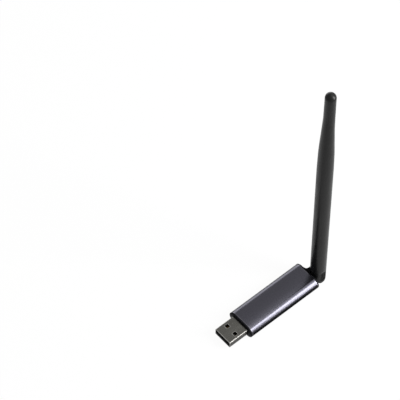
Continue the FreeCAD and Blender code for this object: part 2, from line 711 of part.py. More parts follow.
def mast_lead():
    """The same lead past the pivot: it leaves the hinge axis and climbs the antenna to the feed point."""
    route = [
        Vector(HINGE_X, LEAD_MEETING_Y, HINGE_HEIGHT),
        Vector(HINGE_X, LEAD_TURN_Y, HINGE_HEIGHT),
        Vector(HINGE_X, LEAD_CLIMB_Y, HINGE_HEIGHT + LEAD_CLIMB),
        Vector(HINGE_X, ANTENNA_SIDE_SHIFT, GROUND_TUBE_BOTTOM - LEAD_ENTRY),
        Vector(HINGE_X, ANTENNA_SIDE_SHIFT, GROUND_TUBE_TOP),
    ]
    return bent_lead(route, largest_bends(route))


def hinge_pivot():
    """The hollow rivet: a head in the lug's seat, a barrel, and a rolled rim inside the knuckle."""
    rim_y = KNUCKLE_WALL_Y - PIVOT_RIM_GAP
    length = LUG_FAR - rim_y
    profile = (
        (PIVOT_BORE, 0),
        (PIVOT_HEAD, 0),
        (PIVOT_HEAD, PIVOT_HEAD_THICK),
        (PIVOT_RADIUS, PIVOT_HEAD_THICK),
        (PIVOT_RADIUS, length),
        (PIVOT_RIM, length),
        (PIVOT_RIM, length + PIVOT_RIM_THICK),
        (PIVOT_BORE, length + PIVOT_RIM_THICK),
    )
    pivot = turned(profile, Vector(HINGE_X, LUG_FAR, HINGE_HEIGHT), Vector(0, -1, 0))
    entry = box(
        HINGE_X - PIVOT_HEAD, HINGE_X, LUG_MIDDLE_Y - LEAD_PASSAGE, LUG_MIDDLE_Y + LEAD_PASSAGE,
        HINGE_HEIGHT - LEAD_PASSAGE, HINGE_HEIGHT + LEAD_PASSAGE
    )
    return pivot.cut(entry)


def friction_washer():
    """The washer between the lug and the knuckle that keeps the antenna where it is put."""
    ring = cross_pin(WASHER_RADIUS, LUG_NEAR - WASHER_THICK, LUG_NEAR)
    return ring.cut(cross_pin(PIVOT_RADIUS, LUG_NEAR - 1, LUG_NEAR + 1))


def upright_slot(half_width, z_from, z_to, y_from, y_to):
    """A bar across the stick with round ends above and below, centred on the hinge's X."""
    radius = half_width
    low = Part.makeCylinder(radius, y_to - y_from, Vector(HINGE_X, y_from, z_from + radius), Vector(0, 1, 0))
    high = Part.makeCylinder(radius, y_to - y_from, Vector(HINGE_X, y_from, z_to - radius), Vector(0, 1, 0))
    middle = box(HINGE_X - radius, HINGE_X + radius, y_from, y_to, z_from + radius, z_to - radius)
    return low.fuse(high).fuse(middle).removeSplitter()


def mast_axis(z):
    return Vector(HINGE_X, ANTENNA_SIDE_SHIFT, z)


def station_loft(stations, inset):
    """A round bar through the given stations, straight-sided between them, inset by a wall's thickness."""
    rings = []
    for radius, z, shift in stations:
        centre = mast_axis(z) + Vector(shift, 0, 0)
        rings.append(Part.Wire([Part.makeCircle(radius - inset, centre)]))
    return Part.makeLoft(rings, True, True)


def mast_outside():
    """The outside of the antenna: a straight shaft, a taper to the slim top, and a round tip."""
    shaft = post(ANTENNA_RADIUS, 0, SHOULDER_Z, HINGE_X, ANTENNA_SIDE_SHIFT)
    tip_centre = mast_axis(ANTENNA_TOP - TIP_RADIUS) + Vector(TIP_SHIFT, 0, 0)
    tip = Part.makeSphere(TIP_RADIUS, tip_centre, Vector(0, 0, 1), 0, 90, 360)
    return shaft.fuse(station_loft(TAPER_STATIONS, 0)).fuse(tip).removeSplitter()


def knuckle_envelope():
    """Everything above the hinge axis, and below it only what lies within the knuckle's radius."""
    rounding = cross_pin(KNUCKLE_RADIUS, -BODY_WIDTH, BODY_WIDTH)
    above = box(
        HINGE_X - BODY_WIDTH, HINGE_X + BODY_WIDTH, -BODY_WIDTH, BODY_WIDTH, HINGE_HEIGHT, ANTENNA_TOP + 1
    )
    return rounding.fuse(above)


def near_flat():
    """The flat on the knuckle's near side, which runs out on a slope above."""
    corners = [(FLAT_Y, -1), (FLAT_Y, FLAT_TOP), (FLAT_Y - BODY_WIDTH, FLAT_TOP + FLAT_RUNOUT * BODY_WIDTH)]
    corners.append((FLAT_Y - BODY_WIDTH, -1))
    points = [Vector(HINGE_X - BODY_WIDTH / 2, y, z) for y, z in corners]
    return Part.Face(Part.makePolygon(points + [points[0]])).extrude(Vector(BODY_WIDTH, 0, 0))


def mast_hollow():
    """The space inside the antenna, from the throat above the knuckle's pocket up to the solid tip."""
    funnel_top = MAST_BORE_BOTTOM + MAST_BORE - THROAT_RADIUS
    funnel = station_loft(((THROAT_RADIUS, MAST_BORE_BOTTOM, 0.0), (MAST_BORE, funnel_top, 0.0)), 0)
    throat = post(THROAT_RADIUS, POCKET_CEILING, MAST_BORE_BOTTOM + 1, HINGE_X, THROAT_Y)
    bore = post(MAST_BORE, funnel_top, SHOULDER_Z, HINGE_X, ANTENNA_SIDE_SHIFT)
    top = station_loft(TAPER_STATIONS, MAST_WALL)
    return bore.fuse(funnel).fuse(throat).fuse(top).removeSplitter()


def antenna_sheath():
    """The antenna's one-piece moulded cover: half-lapped knuckle, pocket for the lead, hollow mast."""
    sheath = mast_outside().common(knuckle_envelope())
    sheath = sheath.cut(near_flat())
    lap = box(
        HINGE_X - BODY_WIDTH, HINGE_X + BODY_WIDTH, KNUCKLE_FAR, BODY_WIDTH,
        -1, HINGE_HEIGHT + LUG_RADIUS + STEP_CLEARANCE
    )
    sheath = sheath.cut(lap)
    seat_floor = FLAT_Y + COVER_RECESS + COVER_THICK
    cover_seat = upright_slot(COVER_HALF_WIDTH, COVER_BOTTOM, COVER_TOP, FLAT_Y - 1, seat_floor)
    pocket = upright_slot(
        COVER_HALF_WIDTH - COVER_LEDGE, COVER_BOTTOM + COVER_LEDGE, COVER_TOP - COVER_LEDGE,
        FLAT_Y, KNUCKLE_WALL_Y
    )
    rim_room = cross_pin(PIVOT_RIM + PIVOT_RIM_SLACK, seat_floor, KNUCKLE_WALL_Y)
    bore = cross_pin(PIVOT_RADIUS + PIVOT_SLACK, KNUCKLE_WALL_Y - 1, KNUCKLE_FAR + 1)
    sheath = sheath.cut(cover_seat).cut(pocket).cut(rim_room).cut(bore)
    return sheath.cut(mast_hollow()).removeSplitter()


def knuckle_cover():
    """The plate that closes the knuckle's pocket, set a little below the flat."""
    front = FLAT_Y + COVER_RECESS
    cover = upright_slot(
        COVER_HALF_WIDTH - COVER_SLACK, COVER_BOTTOM + COVER_SLACK, COVER_TOP - COVER_SLACK,
        front, front + COVER_THICK
    )
    return cover.makeChamfer(BROKEN_EDGE, edges_in_plane(cover, 1, front))


def ground_tube():
    """The brass tube round the lower lead, which is the lower half of the antenna."""
    outside = post(GROUND_TUBE_RADIUS, GROUND_TUBE_BOTTOM, GROUND_TUBE_TOP, HINGE_X, ANTENNA_SIDE_SHIFT)
    inside_radius = GROUND_TUBE_RADIUS - GROUND_TUBE_WALL
    inside = post(inside_radius, GROUND_TUBE_BOTTOM - 1, GROUND_TUBE_TOP + 1, HINGE_X, ANTENNA_SIDE_SHIFT)
    return outside.cut(inside)


def lead_spacers():
    """Two bushes that keep the lead in the middle of the ground tube."""
    radius = GROUND_TUBE_RADIUS - GROUND_TUBE_WALL - SPACER_SLACK
    bushes = []
    for bottom in (GROUND_TUBE_BOTTOM + SPACER_LENGTH, (GROUND_TUBE_BOTTOM + GROUND_TUBE_TOP) / 2):
        bush = post(radius, bottom, bottom + SPACER_LENGTH, HINGE_X, ANTENNA_SIDE_SHIFT)
        hole = post(LEAD_RADIUS, bottom - 1, bottom + SPACER_LENGTH + 1, HINGE_X, ANTENNA_SIDE_SHIFT)
        bushes.append(bush.cut(hole))
    return group(bushes)


def tube_centring_ring():
    """The foam ring that centres the ground tube's foot in the mast's bore."""
    bottom = GROUND_TUBE_BOTTOM
    top = bottom + SPACER_LENGTH
    ring = post(MAST_BORE - SPACER_SLACK, bottom, top, HINGE_X, ANTENNA_SIDE_SHIFT)
    return ring.cut(post(GROUND_TUBE_RADIUS, bottom - 1, top + 1, HINGE_X, ANTENNA_SIDE_SHIFT))


def feed_cap():
    """The brass cap on the tube's top, joined to the lead's braid, with a seat for the insulator."""
    profile = (
        (LEAD_RADIUS, -SPACER_LENGTH),
        (FEED_CAP_NECK, -SPACER_LENGTH),
        (FEED_CAP_NECK, 0),
        (GROUND_TUBE_RADIUS, 0),
        (GROUND_TUBE_RADIUS, FEED_CAP_THICK),
        (FEED_SEAT_RADIUS, FEED_CAP_THICK),
        (FEED_SEAT_RADIUS, FEED_CAP_FLOOR),
        (LEAD_RADIUS, FEED_CAP_FLOOR),
    )
    return turned(profile, mast_axis(GROUND_TUBE_TOP), Vector(0, 0, 1))


def feed_insulator():
    """The bead in the feed cap that the radiator's foot stands in."""
    profile = (
        (0, FEED_CAP_FLOOR),
        (FEED_SEAT_RADIUS, FEED_CAP_FLOOR),
        (FEED_SEAT_RADIUS, FEED_CAP_THICK),
        (FEED_CAP_NECK, FEED_CAP_THICK),
        (FEED_CAP_NECK, FEED_CAP_THICK + FEED_COLLAR),
        (RADIATOR_RADIUS, FEED_CAP_THICK + FEED_COLLAR),
        (RADIATOR_RADIUS, RADIATOR_SEAT),
        (0, RADIATOR_SEAT),
    )
    return turned(profile, mast_axis(GROUND_TUBE_TOP), Vector(0, 0, 1))


def radiator_rod():
    """The upper radiator: a plain rod from the feed insulator up into the slim top."""
    return post(RADIATOR_RADIUS, GROUND_TUBE_TOP + RADIATOR_SEAT, RADIATOR_TOP, HINGE_X, ANTENNA_SIDE_SHIFT)


def tip_spacer():
    """The foam plug that steadies the rod in the slim top, its hole off centre to meet the straight rod."""
    radius = TIP_RADIUS - MAST_WALL - SPACER_SLACK
    plug = post(radius, TIP_SPACER_BOTTOM, TIP_SPACER_TOP, HINGE_X + TIP_SHIFT, ANTENNA_SIDE_SHIFT)
    return plug.cut(post(RADIATOR_RADIUS, TIP_SPACER_BOTTOM - 1, RADIATOR_TOP, HINGE_X, ANTENNA_SIDE_SHIFT))


PIECES = (
    housing_sleeve,
    front_cap,
    rear_cap,
    usb_plug_shell,
    usb_plug_insulator,
    usb_plug_contacts,
    board_tray,
    main_board,
    radio_module_board,
    radio_chip,
    radio_shield,
    usb_bridge_chip,
    voltage_regulator,
    crystal_can,
    chip_capacitors,
    chip_resistors,
    coax_socket,
    coax_plug,
    coax_lead,
    hinge_pivot,
    friction_washer,
    antenna_sheath,
    knuckle_cover,
    mast_lead,
    ground_tube,
    lead_spacers,
    tube_centring_ring,
    feed_cap,
    feed_insulator,
    radiator_rod,
    tip_spacer,
)

os.makedirs("parts", exist_ok=True)
for piece in PIECES:
    shape = piece()
    print(piece.__name__, len(shape.Solids), "solids, valid", shape.isValid(), "mm3", round(shape.Volume, 2))
    shape.exportStep("parts/" + piece.__name__ + ".step")
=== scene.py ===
"""The looks of a USB radio stick with a folding rod antenna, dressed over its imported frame."""

import logging
import math
from dataclasses import dataclass
from enum import Enum
from functools import cache
from typing import Iterable, Sequence

import bmesh
import bpy
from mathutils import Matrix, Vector
from mathutils.kdtree import KDTree


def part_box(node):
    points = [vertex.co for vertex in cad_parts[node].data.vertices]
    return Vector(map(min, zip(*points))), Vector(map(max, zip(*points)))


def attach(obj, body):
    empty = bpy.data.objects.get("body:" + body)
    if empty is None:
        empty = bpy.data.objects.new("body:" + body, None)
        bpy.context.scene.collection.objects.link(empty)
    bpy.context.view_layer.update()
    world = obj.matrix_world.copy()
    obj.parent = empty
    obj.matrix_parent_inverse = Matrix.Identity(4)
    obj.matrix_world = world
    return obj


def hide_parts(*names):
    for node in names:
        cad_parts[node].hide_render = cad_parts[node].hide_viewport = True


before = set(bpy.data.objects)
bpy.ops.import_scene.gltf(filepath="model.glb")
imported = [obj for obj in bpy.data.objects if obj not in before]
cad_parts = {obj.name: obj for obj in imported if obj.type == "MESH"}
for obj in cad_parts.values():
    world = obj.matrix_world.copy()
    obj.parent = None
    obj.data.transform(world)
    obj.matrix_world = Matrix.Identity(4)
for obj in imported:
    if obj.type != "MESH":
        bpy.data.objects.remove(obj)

LOG = logging.getLogger("radio_stick")
MM = 0.001
EDGE_ATTRIBUTE = "edge"
EDGE_REACH = 0.35 * MM
EDGE_TURN = 0.26
EDGE_BANDS = (0.2 * MM, 0.35 * MM, 0.6 * MM)
SHARP_ANGLE = math.radians(38)
WELD = 1e-7
TINY = 1e-6
FLOOR_LEVEL = -0.02 * MM
NOISE_LOW, NOISE_HIGH = 0.3, 0.7
ROUGHNESS_SPREAD = 0.15

# Sizes that several pieces share
CROWN = 0.15
SLEEVE_WALL = 1.0 * MM
SPIGOT_SLACK = 0.03 * MM
SPIGOT_WALL = 0.6 * MM
CAP_BEVEL = 0.35 * MM
EDGE_BREAK = 0.05 * MM

Triple = tuple[float, float, float]
Color = Triple
Ring = list[Vector]
Tree = bpy.types.NodeTree
Socket = bpy.types.NodeSocket
Thing = bpy.types.Object


class Body(Enum):
    """The two bodies of the frame."""

    STICK = "stick"
    ANTENNA = "antenna"


class Texture(Enum):
    """How a surface was made, which sets the pattern of its grain."""

    MOULDED = "moulded"
    BLASTED = "blasted"
    DRAWN = "drawn"


# Nodes, and the shader groups that several finishes share


def feed(tree: Tree, socket: Socket, value: object) -> None:
    """Links a node's input, or sets its value.

    Args:
        tree: The tree that holds the node.
        socket: The input.
        value: A socket or a plain value.
    """
    if isinstance(value, Socket):
        tree.links.new(value, socket)
    else:
        socket.default_value = value


def add_node(
    tree: Tree, kind: str, settings: dict[str, object] | None = None, **inputs: object
) -> bpy.types.Node:
    """Adds a node.

    Args:
        tree: The tree that gets the node.
        kind: Blender's name for the node's type.
        settings: The node's own settings, made before its inputs.
        inputs: A socket or a value for each named input, with spaces written as underscores.

    Returns:
        The node.
    """
    made = tree.nodes.new(kind)
    for label, value in (settings or {}).items():
        setattr(made, label, value)
    for label, value in inputs.items():
        feed(tree, made.inputs[label.replace("_", " ")], value)
    return made


def new_group(name: str, inputs: dict[str, float], outputs: Sequence[str]) -> Tree:
    """Makes an empty shader group with number inputs and outputs.

    Args:
        name: The group's name.
        inputs: Each input's name and default.
        outputs: The names of the outputs.

    Returns:
        The group, which holds its input and output nodes.
    """
    tree = bpy.data.node_groups.new(name, "ShaderNodeTree")
    for label, value in inputs.items():
        socket = tree.interface.new_socket(label, in_out="INPUT", socket_type="NodeSocketFloat")
        socket.default_value = value
    for label in outputs:
        tree.interface.new_socket(label, in_out="OUTPUT", socket_type="NodeSocketFloat")
    tree.nodes.new("NodeGroupInput")
    tree.nodes.new("NodeGroupOutput")
    return tree


def math_node(tree: Tree, operation: str, first: Socket, second: Socket | float) -> Socket:
    """Adds a Math node.

    Args:
        tree: The tree that gets the node.
        operation: Blender's name for the operation.
        first: The first operand.
        second: The second operand, a socket or a number.

    Returns:
        The node's result.
    """
    node = add_node(tree, "ShaderNodeMath", {"operation": operation})
    feed(tree, node.inputs[0], first)
    feed(tree, node.inputs[1], second)
    return node.outputs[0]


def noise_node(tree: Tree, along: float, scale: Socket | float, detail: float) -> Socket:
    """Adds noise over the piece's own coordinates.

    Args:
        tree: The tree that gets the nodes.
        along: How much X is multiplied before the noise.
        scale: The noise's scale.
        detail: The noise's octaves.

    Returns:
        The noise's value, near 0.5 on average.
    """
    place = add_node(tree, "ShaderNodeTexCoord")
    mapping = add_node(tree, "ShaderNodeMapping", Vector=place.outputs["Object"], Scale=(along, 1, 1))
    noise = add_node(tree, "ShaderNodeTexNoise", Vector=mapping.outputs["Vector"], Scale=scale, Detail=detail)
    return noise.outputs[0]


# How much X is multiplied for the grain and for the clouding
ALONG = {Texture.MOULDED: (1.0, 1.0), Texture.BLASTED: (1.0, 0.08), Texture.DRAWN: (0.05, 0.2)}
GRAIN_DETAIL, CLOUD_DETAIL, CLOUD_HEIGHT = 3.0, 4.0, 0.25
WEAR_AND_SHEEN_SCALE, WEAR_AND_SHEEN_DETAIL, WEAR_AND_SHEEN_BREAK = 700.0, 5.0, 1.7


@cache
def grain_group(texture: Texture) -> Tree:
    """Makes a shared group of fine grain and broad clouding, once.

    Args:
        texture: How the surface was made.

    Returns:
        The group, with outputs Grain, Cloud and Height.
    """
    scales = {"Grain Scale": 4000.0, "Cloud Scale": 90.0}
    tree = new_group(f"{texture.value} grain", scales, ("Grain", "Cloud", "Height"))
    start, end = tree.nodes["Group Input"], tree.nodes["Group Output"]
    along_grain, along_cloud = ALONG[texture]
    fine = noise_node(tree, along_grain, start.outputs["Grain Scale"], GRAIN_DETAIL)
    cloud = noise_node(tree, along_cloud, start.outputs["Cloud Scale"], CLOUD_DETAIL)
    height = math_node(tree, "ADD", fine, math_node(tree, "MULTIPLY", cloud, CLOUD_HEIGHT))
    for label, value in (("Grain", fine), ("Cloud", cloud), ("Height", height)):
        feed(tree, end.inputs[label], value)
    return tree


@cache
def wear_and_sheen_group() -> Tree:
    """Makes the shared group of edge rubbing, broken up by noise, once; on the plug's shell the rubbed colour
    is partly a painted highlight along its edges.

    Returns:
        The group, with inputs Edge and Amount and output Mask.
    """
    tree = new_group("rubbed edges and painted sheen", {"Edge": 0.0, "Amount": 0.5}, ("Mask",))
    start, end = tree.nodes["Group Input"], tree.nodes["Group Output"]
    noise = noise_node(tree, 1.0, WEAR_AND_SHEEN_SCALE, WEAR_AND_SHEEN_DETAIL)
    broken = math_node(tree, "MULTIPLY", noise, WEAR_AND_SHEEN_BREAK)
    rubbed = math_node(tree, "MULTIPLY", start.outputs["Edge"], broken)
    rubbed = math_node(tree, "MULTIPLY", rubbed, start.outputs["Amount"])
    feed(tree, end.inputs["Mask"], math_node(tree, "MINIMUM", rubbed, 1.0))
    return tree


@dataclass(frozen=True)
class Finish:
    """A surface: its colour, how glossy it is, its grain, how its edges have rubbed or carry a painted
    highlight, and any painted shade low down.

    Attributes:
        name: The material's name.
        slot: The record's material slot.
        color: The plain colour, linear.
        metallic: 1 for bare or anodised metal.
        roughness: Mean roughness.
        specular: The specular level of what isn't metal.
        texture: How the surface was made.
        grain_scale: Grains to a metre, roughly.
        grain_depth: Depth of the grain, metres.
        variation: How much the colour varies, as a share.
        wear_and_sheen_color: The colour of a rubbed edge, linear; on the plug's shell partly a painted
            highlight.
        wear_and_sheen: How far the edges have rubbed, or on the plug's shell carry that painted highlight.
        painted_low_shade: Painted shade: how much darker and less metallic the piece is low down, as a share,
            in place of the dark reflections and shade on its lower sides.
        painted_shade_heights: Where that painted shade fades in, from its full depth to none.
    """

    name: str
    slot: str
    color: Color
    metallic: float = 0.0
    roughness: float = 0.5
    specular: float = 0.5
    texture: Texture = Texture.MOULDED
    grain_scale: float = 4000.0
    grain_depth: float = 0.00002
    variation: float = 0.12
    wear_and_sheen_color: Color = (0.2, 0.2, 0.2)
    wear_and_sheen: float = 0.3
    painted_low_shade: float = 0.0
    painted_shade_heights: tuple[float, float] = (5.0 * MM, 6.0 * MM)

    @cache
    def material(self) -> bpy.types.Material:
        """Builds the material, once.

        Returns:
            The material.
        """
        material = bpy.data.materials.new(self.name)
        material.use_nodes = True
        tree = material.node_tree
        shader = tree.nodes["Principled BSDF"]
        shader.inputs["Metallic"].default_value = self.metallic
        shader.inputs["Specular IOR Level"].default_value = self.specular
        grain_tree = {"node_tree": grain_group(self.texture)}
        grain = add_node(tree, "ShaderNodeGroup", grain_tree, Grain_Scale=self.grain_scale)
        edge = add_node(tree, "ShaderNodeAttribute", {"attribute_name": EDGE_ATTRIBUTE})
        wear_and_sheen_tree = {"node_tree": wear_and_sheen_group()}
        wear_and_sheen = add_node(tree, "ShaderNodeGroup", wear_and_sheen_tree, Edge=edge.outputs["Fac"], Amount=self.wear_and_sheen)
        shade = self._remap(tree, grain.outputs["Cloud"], 1 - self.variation, 1 + self.variation)
        speckle = self._remap(tree, grain.outputs["Grain"], 1 - self.variation / 2, 1 + self.variation / 2)
        tone = math_node(tree, "MULTIPLY", shade, speckle)
        # Painted shade: low on the piece the colour is darker and the metal turns to a dark dielectric, in
        # place of dark reflections and shade there.
        if self.painted_low_shade:
            height = self._painted_low_shade(tree)
            tone = math_node(tree, "MULTIPLY", tone, height)
            feed(tree, shader.inputs["Metallic"], math_node(tree, "MULTIPLY", height, self.metallic))
        toned = add_node(tree, "ShaderNodeVectorMath", {"operation": "SCALE"}, Scale=tone)
        feed(tree, toned.inputs[0], self.color)
        mixed = add_node(
            tree, "ShaderNodeMix", {"data_type": "RGBA"},
            Factor=wear_and_sheen.outputs["Mask"], A=toned.outputs[0], B=(*self.wear_and_sheen_color, 1),
        )
        feed(tree, shader.inputs["Base Color"], mixed.outputs["Result"])
        low, high = self.roughness * (1 - ROUGHNESS_SPREAD), self.roughness * (1 + ROUGHNESS_SPREAD)
        feed(tree, shader.inputs["Roughness"], self._remap(tree, grain.outputs["Cloud"], low, high))
        bump = add_node(tree, "ShaderNodeBump", Distance=self.grain_depth, Height=grain.outputs["Height"])
        feed(tree, shader.inputs["Normal"], bump.outputs["Normal"])
        return material

    def _painted_low_shade(self, tree: Tree) -> Socket:
        """Adds the painted shade mask: 1 high up on the piece, and less lower down, where the colour and the
        metal are darkened as shade.

        Args:
            tree: The material's tree.

        Returns:
            The mask.
        """
        place = add_node(tree, "ShaderNodeTexCoord")
        apart = add_node(tree, "ShaderNodeSeparateXYZ", Vector=place.outputs["Object"])
        low, high = self.painted_shade_heights
        return add_node(
            tree, "ShaderNodeMapRange", {"interpolation_type": "SMOOTHSTEP"},
            Value=apart.outputs["Z"], From_Min=low, From_Max=high, To_Min=1 - self.painted_low_shade,
        ).outputs[0]

    @staticmethod
    def _remap(tree: Tree, value: Socket, low: float, high: float) -> Socket:
        """Spreads a noise's usual range over low to high."""
        return add_node(
            tree, "ShaderNodeMapRange",
            Value=value, From_Min=NOISE_LOW, From_Max=NOISE_HIGH, To_Min=low, To_Max=high,
        ).outputs[0]


# Painted shade: painted_low_shade makes the sleeve's lower sides dark and hardly reflective, in place of dark
# reflections and shade there.
ANODISED = Finish(
    "dark anodised aluminium", "sleeve_aluminium", (0.0525, 0.0515, 0.062), metallic=1.0, roughness=0.26,
    specular=0.002, texture=Texture.BLASTED, grain_scale=5200.0, grain_depth=0.0000015, variation=0.05,
    wear_and_sheen_color=(0.3, 0.29, 0.32), painted_low_shade=0.95,
)
CAP_BLACK = Finish(
    "cap moulding", "cap_plastic", (0.005, 0.005, 0.0065), roughness=0.35, specular=0.02,
    grain_scale=3600.0, wear_and_sheen_color=(0.02, 0.02, 0.023),
)
# Painted shade: painted_low_shade darkens the antenna's base low down, in place of the shade and dark
# reflections by the knuckle.
ANTENNA_BLACK = Finish(
    "antenna moulding", "antenna_plastic", (0.0048, 0.0048, 0.0048), roughness=0.36, specular=0.15,
    grain_scale=3000.0, wear_and_sheen_color=(0.03, 0.03, 0.03), wear_and_sheen=0.25,
    painted_low_shade=0.6, painted_shade_heights=(3.0 * MM, 12.0 * MM),
)
# Painted shade: the cover is the antenna's plastic made darker and nearly unreflective, standing in for the
# shade in the knuckle's recess.
SHADED_COVER_BLACK = Finish("cover moulding in painted shade", "antenna_plastic", (0.002, 0.002, 0.002), specular=0.01, wear_and_sheen=0.1)
# Painted shade: painted_low_shade darkens the shell's lower sides and takes their metal away, in place of
# dark reflections there. Its light wear_and_sheen_color is partly rubbed plating and partly a painted
# highlight along the edges and the lip.
NICKEL = Finish(
    "nickel plated sheet", "plug_nickel", (0.085, 0.083, 0.076), metallic=1.0, roughness=0.28,
    specular=0.02, texture=Texture.DRAWN, grain_scale=2600.0, grain_depth=0.000005,
    wear_and_sheen_color=(0.5, 0.49, 0.47), wear_and_sheen=0.45, painted_low_shade=0.6, painted_shade_heights=(4.9 * MM, 5.9 * MM),
)
TONGUE_BLACK = Finish("plug moulding", "plug_insulator", (0.006, 0.006, 0.006), specular=0.02)
# Painted shade: the gold is made far darker than gold flash, for the shade inside the plug where the contacts
# sit.
SHADE_DARKENED_GOLD = Finish("gold flashed contact darkened as painted shade", "contact_gold", (0.12, 0.081, 0.03), metallic=1.0, roughness=0.55)
TRAY_WHITE = Finish("tray moulding", "tray_plastic", (0.62, 0.6, 0.55), roughness=0.55)
LAMINATE = Finish("solder mask", "board_laminate", (0.012, 0.085, 0.035), roughness=0.35, variation=0.2)
CHIP_BLACK = Finish("chip package", "chip_moulding", (0.022, 0.022, 0.024), roughness=0.6)
DRAWN_METAL = {"metallic": 1.0, "texture": Texture.DRAWN}
TIN = Finish("tinned sheet", "tin_sheet", (0.62, 0.62, 0.6), roughness=0.3, **DRAWN_METAL)
CERAMIC = Finish("fired ceramic", "ceramic_body", (0.42, 0.3, 0.2), roughness=0.55, variation=0.2)
BRASS = Finish("drawn brass", "brass_part", (0.62, 0.42, 0.16), roughness=0.32, **DRAWN_METAL)
SPRING = Finish("spring steel", "spring_steel", (0.4, 0.4, 0.4), roughness=0.3, **DRAWN_METAL)
JACKET = Finish("lead jacket", "lead_jacket", (0.015, 0.015, 0.015), roughness=0.55)
FOAM = Finish(
    "white foam", "spacer_foam", (0.72, 0.72, 0.69), roughness=0.85, grain_depth=0.0001, variation=0.1
)

NODE_FINISHES: dict[Finish, tuple[str, ...]] = {
    TONGUE_BLACK: ("usb_plug_insulator",),
    SHADE_DARKENED_GOLD: ("usb_plug_contacts", "coax_socket", "coax_plug"),
    TRAY_WHITE: ("board_tray",),
    LAMINATE: ("main_board", "radio_module_board"),
    CHIP_BLACK: ("radio_chip", "usb_bridge_chip", "voltage_regulator"),
    TIN: ("radio_shield", "crystal_can"),
    CERAMIC: ("chip_capacitors", "chip_resistors"),
    BRASS: ("hinge_pivot", "ground_tube", "feed_cap", "radiator_rod"),
    SPRING: ("friction_washer",),
    JACKET: ("coax_lead", "mast_lead"),
    FOAM: ("lead_spacers", "tube_centring_ring", "feed_insulator", "tip_spacer"),
}


# Objects and meshes


def add_object(name: str, data: bpy.types.ID) -> Thing:
    """Adds an object to the scene.

    Args:
        name: Its name.
        data: Its mesh, lamp or camera.

    Returns:
        The object.
    """
    made = bpy.data.objects.new(name, data)
    bpy.context.scene.collection.objects.link(made)
    return made


def aim(thing: Thing, direction: Vector) -> None:
    """Turns a lamp or a camera so that it looks along a direction."""
    thing.rotation_mode = "QUATERNION"
    thing.rotation_quaternion = direction.to_track_quat("-Z", "Y")


def apply_modifiers(target: Thing) -> None:
    """Gives an object the plain mesh that its modifiers make."""
    target.data = bpy.data.meshes.new_from_object(target.evaluated_get(bpy.context.evaluated_depsgraph_get()))
    target.modifiers.clear()


def ring_mesh(name: str, rings: Sequence[Ring], endless: bool = False) -> Thing:
    """Skins a row of rings that have the same number of points.

    Args:
        name: The new object's name.
        rings: The rings in order, in metres.
        endless: True joins the last ring to the first. Otherwise each end is closed with a fan.

    Returns:
        The closed object, with its faces outwards.
    """
    mesh = bmesh.new()
    rows = [[mesh.verts.new(point) for point in ring] for ring in rings]
    pairs = list(zip(rows, rows[1:]))
    if endless:
        pairs.append((rows[-1], rows[0]))
    count = len(rows[0])
    for lower, upper in pairs:
        for index in range(count):
            after = (index + 1) % count
            mesh.faces.new((lower[index], lower[after], upper[after], upper[index]))
    if not endless:
        for row in (rows[0], rows[-1]):
            middle = mesh.verts.new(sum((vertex.co for vertex in row), Vector()) / count)
            for index in range(count):
                mesh.faces.new((row[index], row[(index + 1) % count], middle))
    bmesh.ops.recalc_face_normals(mesh, faces=mesh.faces)
    data = bpy.data.meshes.new(name)
    mesh.to_mesh(data)
    mesh.free()
    return add_object(name, data)


def carve(target: Thing, cutters: Iterable[Thing]) -> None:
    """Cuts shapes out of an object and removes them.

    Args:
        target: The object that is cut.
        cutters: The shapes to cut away.
    """
    cutters = list(cutters)
    for cutter in cutters:
        modifier = target.modifiers.new("cut", "BOOLEAN")
        modifier.operation = "DIFFERENCE"
        modifier.solver = "EXACT"
        modifier.object = cutter
    apply_modifiers(target)
    for cutter in cutters:
        bpy.data.objects.remove(cutter)


def refine(piece: Thing, pitch: float) -> None:
    """Cuts a piece's large faces with planes, closest at its ends, so that edge rubbing, and on the plug's
    shell a painted edge highlight, can fade over them.

    Args:
        piece: The piece.
        pitch: The distance between planes in the middle of the piece.
    """
    mesh = bmesh.new()
    mesh.from_mesh(piece.data)
    for axis in range(3):
        normal = Vector([float(index == axis) for index in range(3)])
        low = min(vertex.co[axis] for vertex in mesh.verts)
        high = max(vertex.co[axis] for vertex in mesh.verts)
        places = [low + pitch * step for step in range(1, int((high - low) / pitch) + 1)]
        for offset in EDGE_BANDS:
            places += [low + offset, high - offset]
        for place in places:
            if low < place < high:
                plane = {"plane_co": normal * place, "plane_no": normal}
                geometry = [*mesh.verts, *mesh.edges, *mesh.faces]
                bmesh.ops.bisect_plane(mesh, geom=geometry, dist=WELD, **plane)
    mesh.to_mesh(piece.data)
    mesh.free()


def mark_edges(piece: Thing) -> None:
    """Writes how near each point is to an outer edge, and smooths the shading between edges.

    Args:
        piece: The finished piece.
    """
    mesh = bmesh.new()
    mesh.from_mesh(piece.data)
    samples = []
    for edge in mesh.edges:
        if edge.calc_face_angle_signed(0.0) > EDGE_TURN:
            start, end = (vertex.co for vertex in edge.verts)
            steps = max(1, math.ceil((end - start).length / (EDGE_REACH / 3)))
            samples += [start.lerp(end, step / steps) for step in range(steps + 1)]
    tree = KDTree(len(samples))
    for index, sample in enumerate(samples):
        tree.insert(sample, index)
    tree.balance()
    values = []
    for vertex in mesh.verts:
        distance = tree.find(vertex.co)[2] if samples else EDGE_REACH
        values.append(max(0.0, 1.0 - distance / EDGE_REACH))
    mesh.free()
    attribute = piece.data.attributes.new(EDGE_ATTRIBUTE, "FLOAT", "POINT")
    attribute.data.foreach_set("value", values)
    piece.data.shade_smooth()
    piece.data.set_sharp_from_angle(angle=SHARP_ANGLE)


def dress(piece: Thing, finish: Finish, body: Body, node: str) -> None:
    """Finishes a piece and puts it in the place of its CAD node.

    Args:
        piece: The piece.
        finish: Its surface.
        body: The body that it rides on.
        node: The CAD node that it stands for.
    """
    mark_edges(piece)
    piece.data.materials.clear()
    piece.data.materials.append(finish.material())
    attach(piece, body.value)
    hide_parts(node)
    LOG.info("%s: %d faces", piece.name, len(piece.data.polygons))


